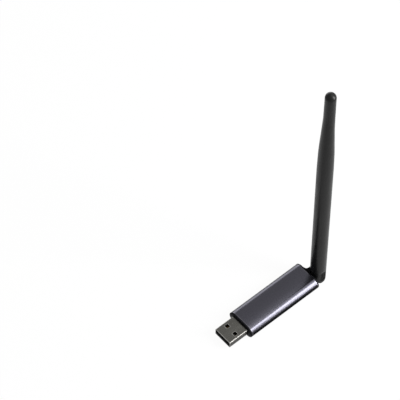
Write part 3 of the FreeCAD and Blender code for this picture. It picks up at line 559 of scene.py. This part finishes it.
class ShapeTree:
    """A geometry node tree with named sizes, which makes plain meshes."""

    def __init__(self, name: str, sizes: dict[str, float]) -> None:
        """Makes the empty tree.

        Args:
            name: The tree's name.
            sizes: Its inputs and their values.
        """
        self.sizes = sizes
        self.tree = bpy.data.node_groups.new(name, "GeometryNodeTree")
        self.tree.interface.new_socket("Geometry", in_out="OUTPUT", socket_type="NodeSocketGeometry")
        for label in sizes:
            self.tree.interface.new_socket(label, in_out="INPUT", socket_type="NodeSocketFloat")
        self.tree.interface.new_socket("Finish", in_out="INPUT", socket_type="NodeSocketMaterial")
        self.start = self.tree.nodes.new("NodeGroupInput")

    def size(self, label: str) -> Socket:
        """The socket of a named size."""
        return self.start.outputs[label]

    def node(self, kind: str, mode: str = "", **inputs: object) -> bpy.types.Node:
        """Adds a geometry node by its type without the prefix, its mode if it has one, and its inputs."""
        return add_node(self.tree, "GeometryNode" + kind, {"mode": mode} if mode else None, **inputs)

    def rounded(self, width: str, height: str, corner: str, count: int) -> Socket:
        """A rounded rectangle as a curve.

        Args:
            width: The name of the size that is its width.
            height: The name of its height.
            corner: The name of its corner radius.
            count: The steps of each corner.

        Returns:
            The curve.
        """
        flat = self.node("CurvePrimitiveQuadrilateral", Width=self.size(width), Height=self.size(height))
        corners = {"Count": count, "Radius": self.size(corner), "Limit_Radius": True}
        return self.node("FilletCurve", "POLY", Curve=flat.outputs[0], **corners).outputs[0]

    def math(self, operation: str, first: Socket, second: Socket | float) -> Socket:
        """Adds a Math node to the tree."""
        return math_node(self.tree, operation, first, second)

    def place(self) -> tuple[Socket, Socket]:
        """Each point's own X and Y, before the tree has placed the shape."""
        apart = add_node(self.tree, "ShaderNodeSeparateXYZ", Vector=self.node("InputPosition").outputs[0])
        return apart.outputs["X"], apart.outputs["Y"]

    def vector(self, **parts: Socket) -> Socket:
        """A vector of sockets given as X, Y and Z."""
        return add_node(self.tree, "ShaderNodeCombineXYZ", **parts).outputs[0]

    def put(self, shape: Socket, turn: Triple) -> Socket:
        """Turns a shape and moves it to the sizes Middle X and Middle Z.

        Args:
            shape: The geometry.
            turn: Its rotation, in radians.

        Returns:
            The placed geometry.
        """
        place = self.vector(X=self.size("Middle X"), Z=self.size("Middle Z"))
        return self.node("Transform", Geometry=shape, Translation=place, Rotation=turn).outputs[0]

    def make(self, name: str, shape: Socket, material: bpy.types.Material) -> Thing:
        """Ends the tree and runs it once.

        Args:
            name: The new object's name.
            shape: The geometry that the tree has made.
            material: The material that the tree sets.

        Returns:
            An object with the plain mesh.
        """
        real = self.node("RealizeInstances", Geometry=shape)
        dressed = self.node("SetMaterial", Geometry=real.outputs[0], Material=self.size("Finish"))
        add_node(self.tree, "NodeGroupOutput", Geometry=dressed.outputs[0])
        made = add_object(name, bpy.data.meshes.new(name))
        modifier = made.modifiers.new("shape", "NODES")
        modifier.node_group = self.tree
        for item in self.tree.interface.items_tree:
            if item.in_out == "INPUT":
                modifier[item.identifier] = self.sizes.get(item.name, material)
        apply_modifiers(made)
        mesh = bmesh.new()
        mesh.from_mesh(made.data)
        bmesh.ops.remove_doubles(mesh, verts=mesh.verts, dist=WELD)
        bmesh.ops.recalc_face_normals(mesh, faces=mesh.faces)
        mesh.to_mesh(made.data)
        mesh.free()
        return made


def prism(name: str, outline: Sequence[Vector], sweep: Vector) -> Thing:
    """A straight bar.

    Args:
        name: The object's name.
        outline: The points of its end.
        sweep: From one end to the other.

    Returns:
        The bar.
    """
    return ring_mesh(name, [list(outline), [point + sweep for point in outline]])


@dataclass(frozen=True)
class Section:
    """A rounded rectangle across the stick, in metres; a corner of half the height gives half-round sides.

    The crown is the share of its height over the middle that the upper half has lost at its sides.
    """

    SMALLEST_CORNER = 0.02 * MM
    ROUNDEST = 0.999
    SEARCH_REACH = 50 * MM
    HALVINGS = 34
    RING_POINTS = 192

    x: float
    y_low: float
    y_high: float
    z_low: float
    z_high: float
    corner: float
    crown: float = 0.0

    def inset(self, amount: float, x: float) -> "Section":
        """The same outline, smaller all round.

        Args:
            amount: How much smaller on each side.
            x: Its station.

        Returns:
            The smaller outline.
        """
        corner = max(self.corner - amount, self.SMALLEST_CORNER)
        low_y, high_y = self.y_low + amount, self.y_high - amount
        return Section(x, low_y, high_y, self.z_low + amount, self.z_high - amount, corner, self.crown)

    def distance(self, y: float, z: float) -> float:
        """How far a point is outside the outline.

        Args:
            y: The point's place across the stick.
            z: Its height.

        Returns:
            The distance, negative within the outline.
        """
        half_y = (self.y_high - self.y_low) / 2
        half_z = (self.z_high - self.z_low) / 2
        corner = min(self.corner, half_y * self.ROUNDEST, half_z * self.ROUNDEST)
        over_y = abs(y - (self.y_low + self.y_high) / 2) - half_y + corner
        over_z = abs(z - (self.z_low + self.z_high) / 2) - half_z + corner
        outside = math.hypot(max(over_y, 0.0), max(over_z, 0.0))
        return outside + min(max(over_y, over_z), 0.0) - corner

    def ring(self, eye: tuple[float, float]) -> Ring:
        """Points on the outline, in even directions from one place inside it.

        Args:
            eye: The place, as Y and Z.

        Returns:
            The ring.
        """
        points = []
        middle_y, middle_z = (self.y_low + self.y_high) / 2, (self.z_low + self.z_high) / 2
        for index in range(self.RING_POINTS):
            angle = 2 * math.pi * index / self.RING_POINTS
            step_y, step_z = math.cos(angle), math.sin(angle)
            near, far = 0.0, self.SEARCH_REACH
            for _ in range(self.HALVINGS):
                middle = (near + far) / 2
                if self.distance(eye[0] + step_y * middle, eye[1] + step_z * middle) < 0:
                    near = middle
                else:
                    far = middle
            y, z = eye[0] + step_y * near, eye[1] + step_z * near
            share = (y - middle_y) / (self.y_high - middle_y)
            points.append(Vector((self.x, y, z - max(0.0, z - middle_z) * self.crown * share ** 2)))
        return points


def body_section(x: float) -> Section:
    """The housing's outline at a station: half-round sides, and a faint crown above."""
    low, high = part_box("housing_sleeve")
    return Section(x, low.y, high.y, low.z, high.z, (high.z - low.z) / 2, CROWN)


def cap_sections(face: float, rim_end: float, spigot_end: float) -> list[Section]:
    """A cap's outlines from its face round the bevel and the rim to the spigot and back along it.

    Args:
        face: The station of the cap's outer face.
        rim_end: Where its rim meets the sleeve.
        spigot_end: Where its spigot ends in the sleeve.

    Returns:
        The outlines.
    """
    inward = math.copysign(1.0, rim_end - face)
    outline = body_section(face)
    outer = SLEEVE_WALL + SPIGOT_SLACK
    inner = outer + SPIGOT_WALL
    return [outline.inset(inset, x) for inset, x in (
        (CAP_BEVEL + EDGE_BREAK, face),
        (CAP_BEVEL * 0.8, face + inward * EDGE_BREAK),
        (0.06 * MM, face + inward * CAP_BEVEL * 0.85),
        (0.0, face + inward * CAP_BEVEL),
        (0.0, rim_end - inward * EDGE_BREAK),
        (EDGE_BREAK, rim_end),
        (outer, rim_end),
        (outer, spigot_end),
        (inner, spigot_end),
        (inner, rim_end),
    )]


@dataclass
class Sleeve:
    """The extruded aluminium sleeve, open at both ends: the wall's section led round a loop."""

    ease: float = 0.12 * MM
    pitch: float = 2.0 * MM
    loop_points: int = 280
    corner_steps: int = 32
    ease_steps: int = 4

    def build(self) -> None:
        """Makes and dresses the sleeve."""
        low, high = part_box("housing_sleeve")
        tall = high.z - low.z - SLEEVE_WALL
        sizes = {
            "Loop Width": high.y - low.y - SLEEVE_WALL, "Loop Height": tall, "Loop Corner": tall / 2,
            "Length": high.x - low.x, "Wall": SLEEVE_WALL, "Ease": self.ease, "Crown": CROWN,
            "Middle X": (low.x + high.x) / 2, "Middle Z": (low.z + high.z) / 2,
        }
        shape = ShapeTree("sleeve extrusion", sizes)
        loop = shape.rounded("Loop Width", "Loop Height", "Loop Corner", self.corner_steps)
        even = shape.node("ResampleCurve", "COUNT", Curve=loop, Count=self.loop_points)
        level = shape.node("SetCurveNormal", "Z_UP", Curve=even.outputs[0])
        wall = shape.rounded("Wall", "Length", "Ease", self.ease_steps)
        swept = shape.node("CurveToMesh", Curve=level.outputs[0], Profile_Curve=wall)
        across, height = shape.place()
        share = shape.math("DIVIDE", across, shape.size("Loop Width"))
        lost = shape.math("MULTIPLY", shape.math("MULTIPLY", share, share), -4.0)
        above = shape.math("MAXIMUM", height, 0.0)
        lost = shape.math("MULTIPLY", shape.math("MULTIPLY", lost, above), shape.size("Crown"))
        crowned = shape.node("SetPosition", Geometry=swept.outputs[0], Offset=shape.vector(Y=lost))
        upright = shape.put(crowned.outputs[0], (math.pi / 2, 0.0, math.pi / 2))
        piece = shape.make("sleeve_shell", upright, ANODISED.material())
        refine(piece, self.pitch)
        dress(piece, ANODISED, Body.STICK, "housing_sleeve")


@dataclass
class FrontCap:
    """The moulded cap round the plug: bevelled rim, flat face with an opening, and a hollow spigot."""

    rim: float = 1.0 * MM
    opening_width: float = 12.0 * MM
    opening_ease: float = 0.12 * MM
    corner: float = 0.45 * MM

    def build(self) -> None:
        """Makes and dresses the cap."""
        low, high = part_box("front_cap")
        plug_low, plug_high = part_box("usb_plug_shell")
        middle = (low.z + high.z) / 2
        reach = (plug_high.z - plug_low.z) / 2
        half = self.opening_width / 2
        opening = Section(low.x, -half, half, middle - reach, middle + reach, self.corner)
        back = low.x + self.rim
        sections = [
            opening.inset(0.0, back),
            opening.inset(0.0, low.x + self.opening_ease),
            opening.inset(-self.opening_ease, low.x),
            *cap_sections(low.x, back, high.x),
        ]
        piece = ring_mesh("front_cap_moulding", [s.ring((0.0, middle)) for s in sections], endless=True)
        dress(piece, CAP_BLACK, Body.STICK, "front_cap")


@dataclass
class PlugShell:
    """The folded sheet shell of the plug, with its latch windows, its lip and the seam below."""

    sheet: float = 0.3 * MM
    corner: float = 0.45 * MM
    window: float = 2.2 * MM
    window_length: float = 2.3 * MM
    window_corner: float = 0.25 * MM
    window_from_front: float = 6.2 * MM
    window_spacing: float = 6.4 * MM
    dimple_behind: float = 3.3 * MM
    dimple_width: float = 0.45 * MM
    dimple_rise: float = 0.05 * MM
    seam: float = 0.12 * MM
    width: float = 12.0 * MM
    pitch: float = 0.45 * MM
    window_steps: int = 8

    def build(self) -> None:
        """Makes and dresses the shell."""
        low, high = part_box("usb_plug_shell")
        middle = (low.z + high.z) / 2
        outside = Section(low.x, -self.width / 2, self.width / 2, low.z, high.z, self.corner)
        lip = self.sheet / 2
        sections = [outside.inset(inset, x) for inset, x in (
            (lip, low.x), (lip * 0.35, low.x + lip * 0.3), (0.0, low.x + lip), (0.0, high.x),
            (self.sheet, high.x), (self.sheet, low.x + lip), (self.sheet * 0.8, low.x + lip * 0.3),
        )]
        piece = ring_mesh("plug_shell_sheet", [s.ring((0.0, middle)) for s in sections], endless=True)
        carve(piece, [self._window_cutter(), self._seam_cutter()])
        refine(piece, self.pitch)
        self._press_dimples(piece)
        dress(piece, NICKEL, Body.STICK, "usb_plug_shell")

    def _window_cutter(self) -> Thing:
        """One window's shape, repeated two above and two below.

        Returns:
            The shapes.
        """
        low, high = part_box("usb_plug_shell")
        sizes = {
            "Plug Height": high.z - low.z, "Spacing": self.window_spacing, "Width": self.window,
            "Length": self.window_length, "Corner": self.window_corner, "Depth": 4 * self.sheet,
            "Middle X": low.x + self.window_from_front, "Middle Z": (low.z + high.z) / 2,
        }
        shape = ShapeTree("latch windows", sizes)
        outline = shape.rounded("Width", "Length", "Corner", self.window_steps)
        depth = shape.size("Depth")
        start, end = (shape.vector(Z=shape.math("MULTIPLY", depth, share)) for share in (-0.5, 0.5))
        stem = shape.node("CurvePrimitiveLine", Start=start, End=end)
        block = shape.node("CurveToMesh", Curve=stem.outputs[0], Profile_Curve=outline, Fill_Caps=True)
        extent = {"Size_X": shape.size("Plug Height"), "Size_Y": shape.size("Spacing")}
        grid = shape.node("MeshGrid", Vertices_X=2, Vertices_Y=2, **extent)
        points = shape.put(grid.outputs[0], (0.0, math.pi / 2, 0.0))
        repeated = shape.node("InstanceOnPoints", Points=points, Instance=block.outputs[0])
        return shape.make("window_cut", repeated.outputs[0], NICKEL.material())

    def _seam_cutter(self) -> Thing:
        """The shape of the seam's gap.

        Returns:
            The shape.
        """
        low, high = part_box("usb_plug_shell")
        half = self.seam / 2
        bottom, top = low.z - self.sheet, low.z + 2 * self.sheet
        outline = [
            Vector((low.x - self.sheet, y, z))
            for y, z in ((-half, bottom), (half, bottom), (half, top), (-half, top))
        ]
        return prism("seam_cut", outline, Vector((high.x - low.x + 2 * self.sheet, 0, 0)))

    def _press_dimples(self, piece: Thing) -> None:
        """Raises the two small pressed spots behind the upper windows.

        Args:
            piece: The shell.
        """
        low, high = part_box("usb_plug_shell")
        x = low.x + self.window_from_front + self.dimple_behind
        for vertex in piece.data.vertices:
            if vertex.co.z > high.z - 0.1 * self.sheet:
                for side in (-1, 1):
                    away = math.hypot(vertex.co.x - x, vertex.co.y - side * self.window_spacing / 2)
                    vertex.co.z += self.dimple_rise * math.exp(-((away / self.dimple_width) ** 2))


@dataclass
class RearCap:
    """The cap at the antenna's end, with the hinge lug that spreads into it on its far side."""

    rim: float = 0.9 * MM
    lug_near: float = -1.0 * MM
    lug_far: float = 1.8 * MM
    lug_radius: float = 3.9 * MM
    flare: float = 2.0 * MM
    lug_corner: float = 0.2 * MM
    root_top: float = 7.9 * MM
    root_bottom: float = 0.5 * MM
    seat_radius: float = 2.24 * MM
    seat_depth: float = 0.45 * MM
    seat_points: int = 64
    lug_steps: int = 33
    root_steps: tuple[tuple[float, float], ...] = ((0.0, 0.06), (0.06, 0.02), (0.16, 0.0), (0.3, 0.0))

    def build(self) -> None:
        """Makes and dresses the cap."""
        low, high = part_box("rear_cap")
        pivot_low, pivot_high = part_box("hinge_pivot")
        axis = Vector(((pivot_low.x + pivot_high.x) / 2, 0, (pivot_low.z + pivot_high.z) / 2))
        sleeve_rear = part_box("housing_sleeve")[1].x
        face = sleeve_rear + self.rim
        sections = cap_sections(face, sleeve_rear, low.x)[::-1]
        for run, grow in self.root_steps:
            station = face + run * MM
            sections.append(self._lug(station, axis).inset(-grow * MM, station))
        length = high.x - station
        for index in range(1, self.lug_steps):
            turn = math.pi / 2 * index / self.lug_steps
            sections.append(self._lug(station + length * math.sin(turn), axis))
        eye = ((self.lug_near + self.lug_far) / 2, axis.z)
        piece = ring_mesh("rear_cap_moulding", [s.ring(eye) for s in sections])
        seat = []
        for index in range(self.seat_points):
            turn = 2 * math.pi * index / self.seat_points
            spoke = Vector((math.cos(turn), 0.0, math.sin(turn))) * self.seat_radius
            seat.append(spoke + Vector((axis.x, self.lug_far - self.seat_depth, axis.z)))
        carve(piece, [prism("seat_cut", seat, Vector((0, 2 * self.seat_depth, 0)))])
        dress(piece, CAP_BLACK, Body.STICK, "rear_cap")

    def _lug(self, x: float, axis: Vector) -> Section:
        """The lug's outline at a station: tapering from its root and rounded about the hinge's axis.

        Args:
            x: The station.
            axis: A point on the hinge's axis.

        Returns:
            The outline.
        """
        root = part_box("housing_sleeve")[1].x + self.rim
        top = self._side(x - axis.x, root - axis.x, self.root_top - axis.z) + axis.z
        bottom = axis.z - self._side(x - axis.x, root - axis.x, axis.z - self.root_bottom)
        spread = max(0.0, root + self.flare - x)
        bulge = self.flare - math.sqrt(max(0.0, self.flare ** 2 - spread ** 2))
        return Section(x, self.lug_near, self.lug_far + bulge, bottom, top, self.lug_corner)

    def _side(self, place: float, run: float, rise: float) -> float:
        """How far the lug's edge is from the hinge's height at a station.

        Args:
            place: The station, behind the axis.
            run: Where the lug starts, behind the axis.
            rise: The edge's height over the axis there.

        Returns:
            The distance.
        """
        bearing = math.atan2(rise, run)
        touch = bearing - math.acos(min(1.0, self.lug_radius / math.hypot(run, rise)))
        touch_x = self.lug_radius * math.cos(touch)
        touch_z = self.lug_radius * math.sin(touch)
        if place < touch_x:
            return rise + (touch_z - rise) * (place - run) / (touch_x - run)
        return math.sqrt(max(self.lug_radius ** 2 - place ** 2, EDGE_BREAK ** 2))


@dataclass
class Antenna:
    """The antenna's sheath: half-lapped knuckle with a flat and its cover's seat, and tapered mast."""

    points: int = 120
    sharpness: float = 15.0
    lower_round: float = 0.3 * MM
    flat_depth: float = 4.4 * MM
    flat_top: float = 10.6 * MM
    flat_slope: float = 0.8
    side_shift: float = -2.7 * MM
    lap_face: float = -1.35 * MM
    lap_top: float = 8.75 * MM
    lap_eye: float = -0.5 * MM
    least_half: float = 0.08 * MM
    stations: tuple[Triple, ...] = (
        (4.5, 14.0, 0.0), (4.5, 106.0, 0.0), (4.3, 120.0, 0.01), (3.95, 129.0, 0.02),
        (3.4, 141.0, 0.12), (3.12, 150.0, 0.34), (3.05, 166.85, 0.38),
    )
    seat_slack: float = 0.05 * MM
    foot_steps: int = 24
    lap_steps: int = 10
    heel_length: float = 5.2 * MM
    mast_pitch: float = 3.0 * MM
    tip_steps: int = 12

    def build(self) -> None:
        """Makes and dresses the sheath and its cover."""
        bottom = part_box("antenna_sheath")[0].z
        cover_low, cover_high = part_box("knuckle_cover")
        pivot_low, pivot_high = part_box("hinge_pivot")
        foot = Vector(((cover_low.x + cover_high.x) / 2, self.side_shift, (pivot_low.z + pivot_high.z) / 2))
        levels = self._levels(bottom, foot.z)
        rings = [self._section(z, foot, bottom, lapped, trim) for z, lapped, trim in levels]
        radius, start, shift = self.stations[-1]
        for index in range(1, self.tip_steps):
            turn = math.pi / 2 * index / self.tip_steps
            rings.append(self._circle(radius * math.cos(turn), start + radius * math.sin(turn), shift, foot))
        sheath = ring_mesh("antenna_sheath_moulding", rings)
        outside = foot.y - self.flat_depth - 1.0 * MM
        seat = self._slot(cover_low, cover_high, -self.seat_slack, outside)
        carve(sheath, [prism("cover_seat_cut", seat, Vector((0, cover_high.y - outside, 0)))])
        dress(sheath, ANTENNA_BLACK, Body.ANTENNA, "antenna_sheath")
        plate = [
            self._slot(cover_low, cover_high, inset, y) for inset, y in (
                (0.0, cover_high.y), (0.0, cover_low.y + 0.12 * MM), (0.04 * MM, cover_low.y + 0.03 * MM),
                (0.12 * MM, cover_low.y),
            )
        ]
        dress(ring_mesh("knuckle_cover_plate", plate), SHADED_COVER_BLACK, Body.ANTENNA, "knuckle_cover")

    def _levels(self, bottom: float, axis_z: float) -> list[tuple[float, bool, float]]:
        """The heights of the rings.

        Args:
            bottom: The knuckle's lowest point.
            axis_z: The hinge's height.

        Returns:
            Each ring's height, whether the lap cuts it, and how much it is trimmed all round.
        """
        levels = []
        for index in range(1, self.foot_steps + 1):
            turn = math.pi / 2 * index / self.foot_steps
            levels.append((axis_z - (axis_z - bottom) * math.cos(turn), True, 0.0))
        for index in range(1, self.lap_steps + 1):
            levels.append((axis_z + (self.lap_top - axis_z) * index / self.lap_steps, True, 0.0))
        levels.append((self.lap_top, False, 0.15 * MM))
        levels.append((self.lap_top + 0.12 * MM, False, 0.03 * MM))
        for index in range(1, self.foot_steps + 1):
            rise = 0.2 * MM + self.heel_length * index / self.foot_steps
            levels.append((self.lap_top + rise, False, 0.0))
        heights = [station[1] * MM for station in self.stations]
        for start, end in zip(heights, heights[1:]):
            steps = max(2, round((end - start) / self.mast_pitch))
            levels += [(start + (end - start) * step / steps, False, 0.0) for step in range(1, steps + 1)]
        return levels

    def _radius(self, z: float) -> tuple[float, float]:
        """The mast's radius and back shift at a height.

        Args:
            z: The height.

        Returns:
            The two, in even steps between the stations.
        """
        place = z / MM
        radius, top, shift = self.stations[0]
        if place <= top:
            return radius * MM, shift * MM
        for (r0, z0, s0), (r1, z1, s1) in zip(self.stations, self.stations[1:]):
            if place <= z1:
                share = (place - z0) / (z1 - z0)
                return (r0 + (r1 - r0) * share) * MM, (s0 + (s1 - s0) * share) * MM
        return self.stations[-1][0] * MM, self.stations[-1][2] * MM

    def _section(self, z: float, foot: Vector, bottom: float, lapped: bool, trim: float) -> Ring:
        """The sheath's outline at a height, its corners softly rounded.

        Args:
            z: The height.
            foot: The mast's axis in X and Y, and the hinge's height.
            bottom: The knuckle's lowest point.
            lapped: Whether the lap's face limits it.
            trim: How much it is drawn in.

        Returns:
            The ring.
        """
        radius, shift = self._radius(z)
        radius -= trim
        eye = self.lap_eye if lapped else 0.0
        climb = max(0.0, self.lower_round - (z - bottom))
        turn_in = self.lower_round - math.sqrt(self.lower_round ** 2 - climb ** 2)
        near = self.flat_depth + max(0.0, z - self.flat_top) / self.flat_slope + eye - turn_in
        far = self.lap_face - foot.y - eye
        drop = max(0.0, foot.z - z)
        half = math.sqrt(max((foot.z - bottom) ** 2 - drop ** 2, self.least_half ** 2))
        ring = []
        for index in range(self.points):
            angle = 2 * math.pi * index / self.points
            step_x, step_y = math.cos(angle), math.sin(angle)
            along = -step_y * eye
            limits = [along + math.sqrt(max(along ** 2 + radius ** 2 - eye ** 2, 0.0))]
            if step_y < -TINY:
                limits.append(near / -step_y)
            if lapped and step_y > TINY:
                limits.append(far / step_y)
            if drop > 0 and abs(step_x) > TINY:
                limits.append(half / abs(step_x))
            shortest = min(limits)
            blend = sum((shortest / limit) ** self.sharpness for limit in limits)
            reach = shortest * blend ** (-1 / self.sharpness)
            ring.append(Vector((foot.x + shift + step_x * reach, foot.y + eye + step_y * reach, z)))
        return ring

    def _circle(self, radius: float, z: float, shift: float, foot: Vector) -> Ring:
        """A round ring of the tip.

        Args:
            radius: Its radius, in millimetres like the next two.
            z: Its height.
            shift: How far back it sits.
            foot: The mast's axis in X and Y.

        Returns:
            The ring.
        """
        ring = []
        for index in range(self.points):
            angle = 2 * math.pi * index / self.points
            step_x, step_y = shift + radius * math.cos(angle), radius * math.sin(angle)
            ring.append(Vector((foot.x + step_x * MM, foot.y + step_y * MM, z * MM)))
        return ring

    @staticmethod
    def _slot(low: Vector, high: Vector, inset: float, y: float) -> Ring:
        """An upright outline with round ends.

        Args:
            low: The lowest corner of the cover's box.
            high: The highest corner.
            inset: How much the outline is drawn in, negative for wider.
            y: Its place across the stick.

        Returns:
            The ring.
        """
        radius = (high.x - low.x) / 2 - inset
        centre = (low.x + high.x) / 2
        ends = ((high.z - inset - radius, 0.0), (low.z + inset + radius, math.pi))
        steps = 32
        ring = []
        for z, start in ends:
            for index in range(steps + 1):
                angle = start + math.pi * index / steps
                ring.append(Vector((centre + radius * math.cos(angle), y, z + radius * math.sin(angle))))
        return ring


@dataclass(frozen=True)
class Softbox:
    """A rectangular lamp that looks at the object.

    Attributes:
        name: Its name.
        toward: The direction from the object to it.
        distance: How far away it is.
        wide: Its width.
        tall: Its height.
        radiance: How bright its face is, where 1 is white.
    """

    name: str
    toward: Triple
    distance: float
    wide: float
    tall: float
    radiance: float

    def place(self) -> None:
        """Adds the lamp to the scene."""
        lamp = bpy.data.lights.new(self.name, "AREA")
        lamp.shape = "RECTANGLE"
        lamp.size = self.wide
        lamp.size_y = self.tall
        lamp.energy = self.radiance * math.pi * self.wide * self.tall
        light = add_object(self.name, lamp)
        direction = Vector(self.toward).normalized()
        light.location = direction * self.distance
        aim(light, -direction)


@dataclass
class Studio:
    """The floor, the light and the camera."""

    azimuth: float = -40.675
    elevation: float = 55.7353
    lens: float = 229.491
    sensor: float = 36.0
    place: Triple = (-0.514244, -0.537672, 1.193997)
    ambient: float = 0.12
    softboxes: tuple[Softbox, ...] = (
        Softbox("near softbox", (0.52, -0.74, 0.53), 0.8, 0.26, 0.58, 27.0),
        Softbox("overhead softbox", (0.42, -0.13, 0.9), 0.9, 0.64, 0.5, 2.6),
        Softbox("far softbox", (0.46, 0.86, 0.22), 0.9, 0.8, 0.4, 3.6),
    )
    floor_half: float = 4.0
    floor_color: Color = (0.88, 0.88, 0.88)
    floor_glow: float = 0.96
    clip_start: float = 0.01

    def build(self) -> None:
        """Makes the floor, the lamps, the world and the camera."""
        self._floor()
        self._world()
        for softbox in self.softboxes:
            softbox.place()
        self._camera()
        bpy.context.scene.view_settings.view_transform = "Standard"

    def _floor(self) -> None:
        """A pale floor that shows nearly white, and keeps the object's shadow."""
        half = self.floor_half
        mesh = bpy.data.meshes.new("floor")
        outline = ((-half, -half), (half, -half), (half, half), (-half, half))
        mesh.from_pydata([(x, y, FLOOR_LEVEL) for x, y in outline], [], [(0, 1, 2, 3)])
        floor = add_object("floor", mesh)
        material = bpy.data.materials.new("pale floor")
        material.use_nodes = True
        tree = material.node_tree
        tree.nodes.clear()
        plain = add_node(tree, "ShaderNodeBsdfDiffuse", Color=(*self.floor_color, 1))
        glow = add_node(tree, "ShaderNodeEmission")
        share = math_node(tree, "MULTIPLY", self._seen_directly(tree), self.floor_glow)
        mixed = add_node(tree, "ShaderNodeMixShader")
        for socket, value in zip(mixed.inputs, (share, plain.outputs[0], glow.outputs[0])):
            feed(tree, socket, value)
        add_node(tree, "ShaderNodeOutputMaterial", Surface=mixed.outputs[0])
        mesh.materials.append(material)

    @staticmethod
    def _seen_directly(tree: Tree) -> Socket:
        """Adds a mask that is 1 for what the camera, a gloss or a clear piece sees, and 0 for light.

        Args:
            tree: The tree of the world or of a material.

        Returns:
            The mask.
        """
        path = add_node(tree, "ShaderNodeLightPath")
        seen = math_node(tree, "MAXIMUM", path.outputs["Is Camera Ray"], path.outputs["Is Glossy Ray"])
        return math_node(tree, "MAXIMUM", seen, path.outputs["Is Transmission Ray"])

    def _world(self) -> None:
        """White where it is seen, and softer as a light."""
        world = bpy.data.worlds.new("studio")
        bpy.context.scene.world = world
        world.use_nodes = True
        tree = world.node_tree
        background = tree.nodes["Background"]
        background.inputs["Color"].default_value = (1, 1, 1, 1)
        seen = self._seen_directly(tree)
        level = add_node(tree, "ShaderNodeMapRange", Value=seen, To_Min=self.ambient, To_Max=1.0)
        feed(tree, background.inputs["Strength"], level.outputs[0])

    def _camera(self) -> None:
        """The camera of the photograph."""
        data = bpy.data.cameras.new("camera")
        data.lens = self.lens
        data.sensor_width = self.sensor
        data.clip_start = self.clip_start
        camera = add_object("camera", data)
        a, e = math.radians(self.azimuth), math.radians(self.elevation)
        back = Vector((math.sin(a) * math.cos(e), -math.cos(a) * math.cos(e), math.sin(e)))
        camera.location = self.place
        aim(camera, -back)
        bpy.context.scene.camera = camera


def finish_nodes() -> None:
    """Gives the CAD nodes that stay their surfaces."""
    for finish, names in NODE_FINISHES.items():
        for name in names:
            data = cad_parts[name].data
            if not data.materials:
                data.materials.append(None)
            for index in range(len(data.materials)):
                data.materials[index] = finish.material()
            LOG.info("%s: %s", name, finish.name)


def corners(bounds: tuple[Vector, Vector]) -> list[list[float]]:
    """A box's two corners as plain lists."""
    return [list(corner) for corner in bounds]


def main() -> None:
    """Builds every piece in order."""
    logging.basicConfig(level=logging.INFO, format="%(message)s")
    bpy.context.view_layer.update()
    Studio().build()
    finish_nodes()
    for assembly in (PlugShell(), FrontCap(), Sleeve(), RearCap(), Antenna()):
        assembly.build()


if __name__ == "__main__":
    main()
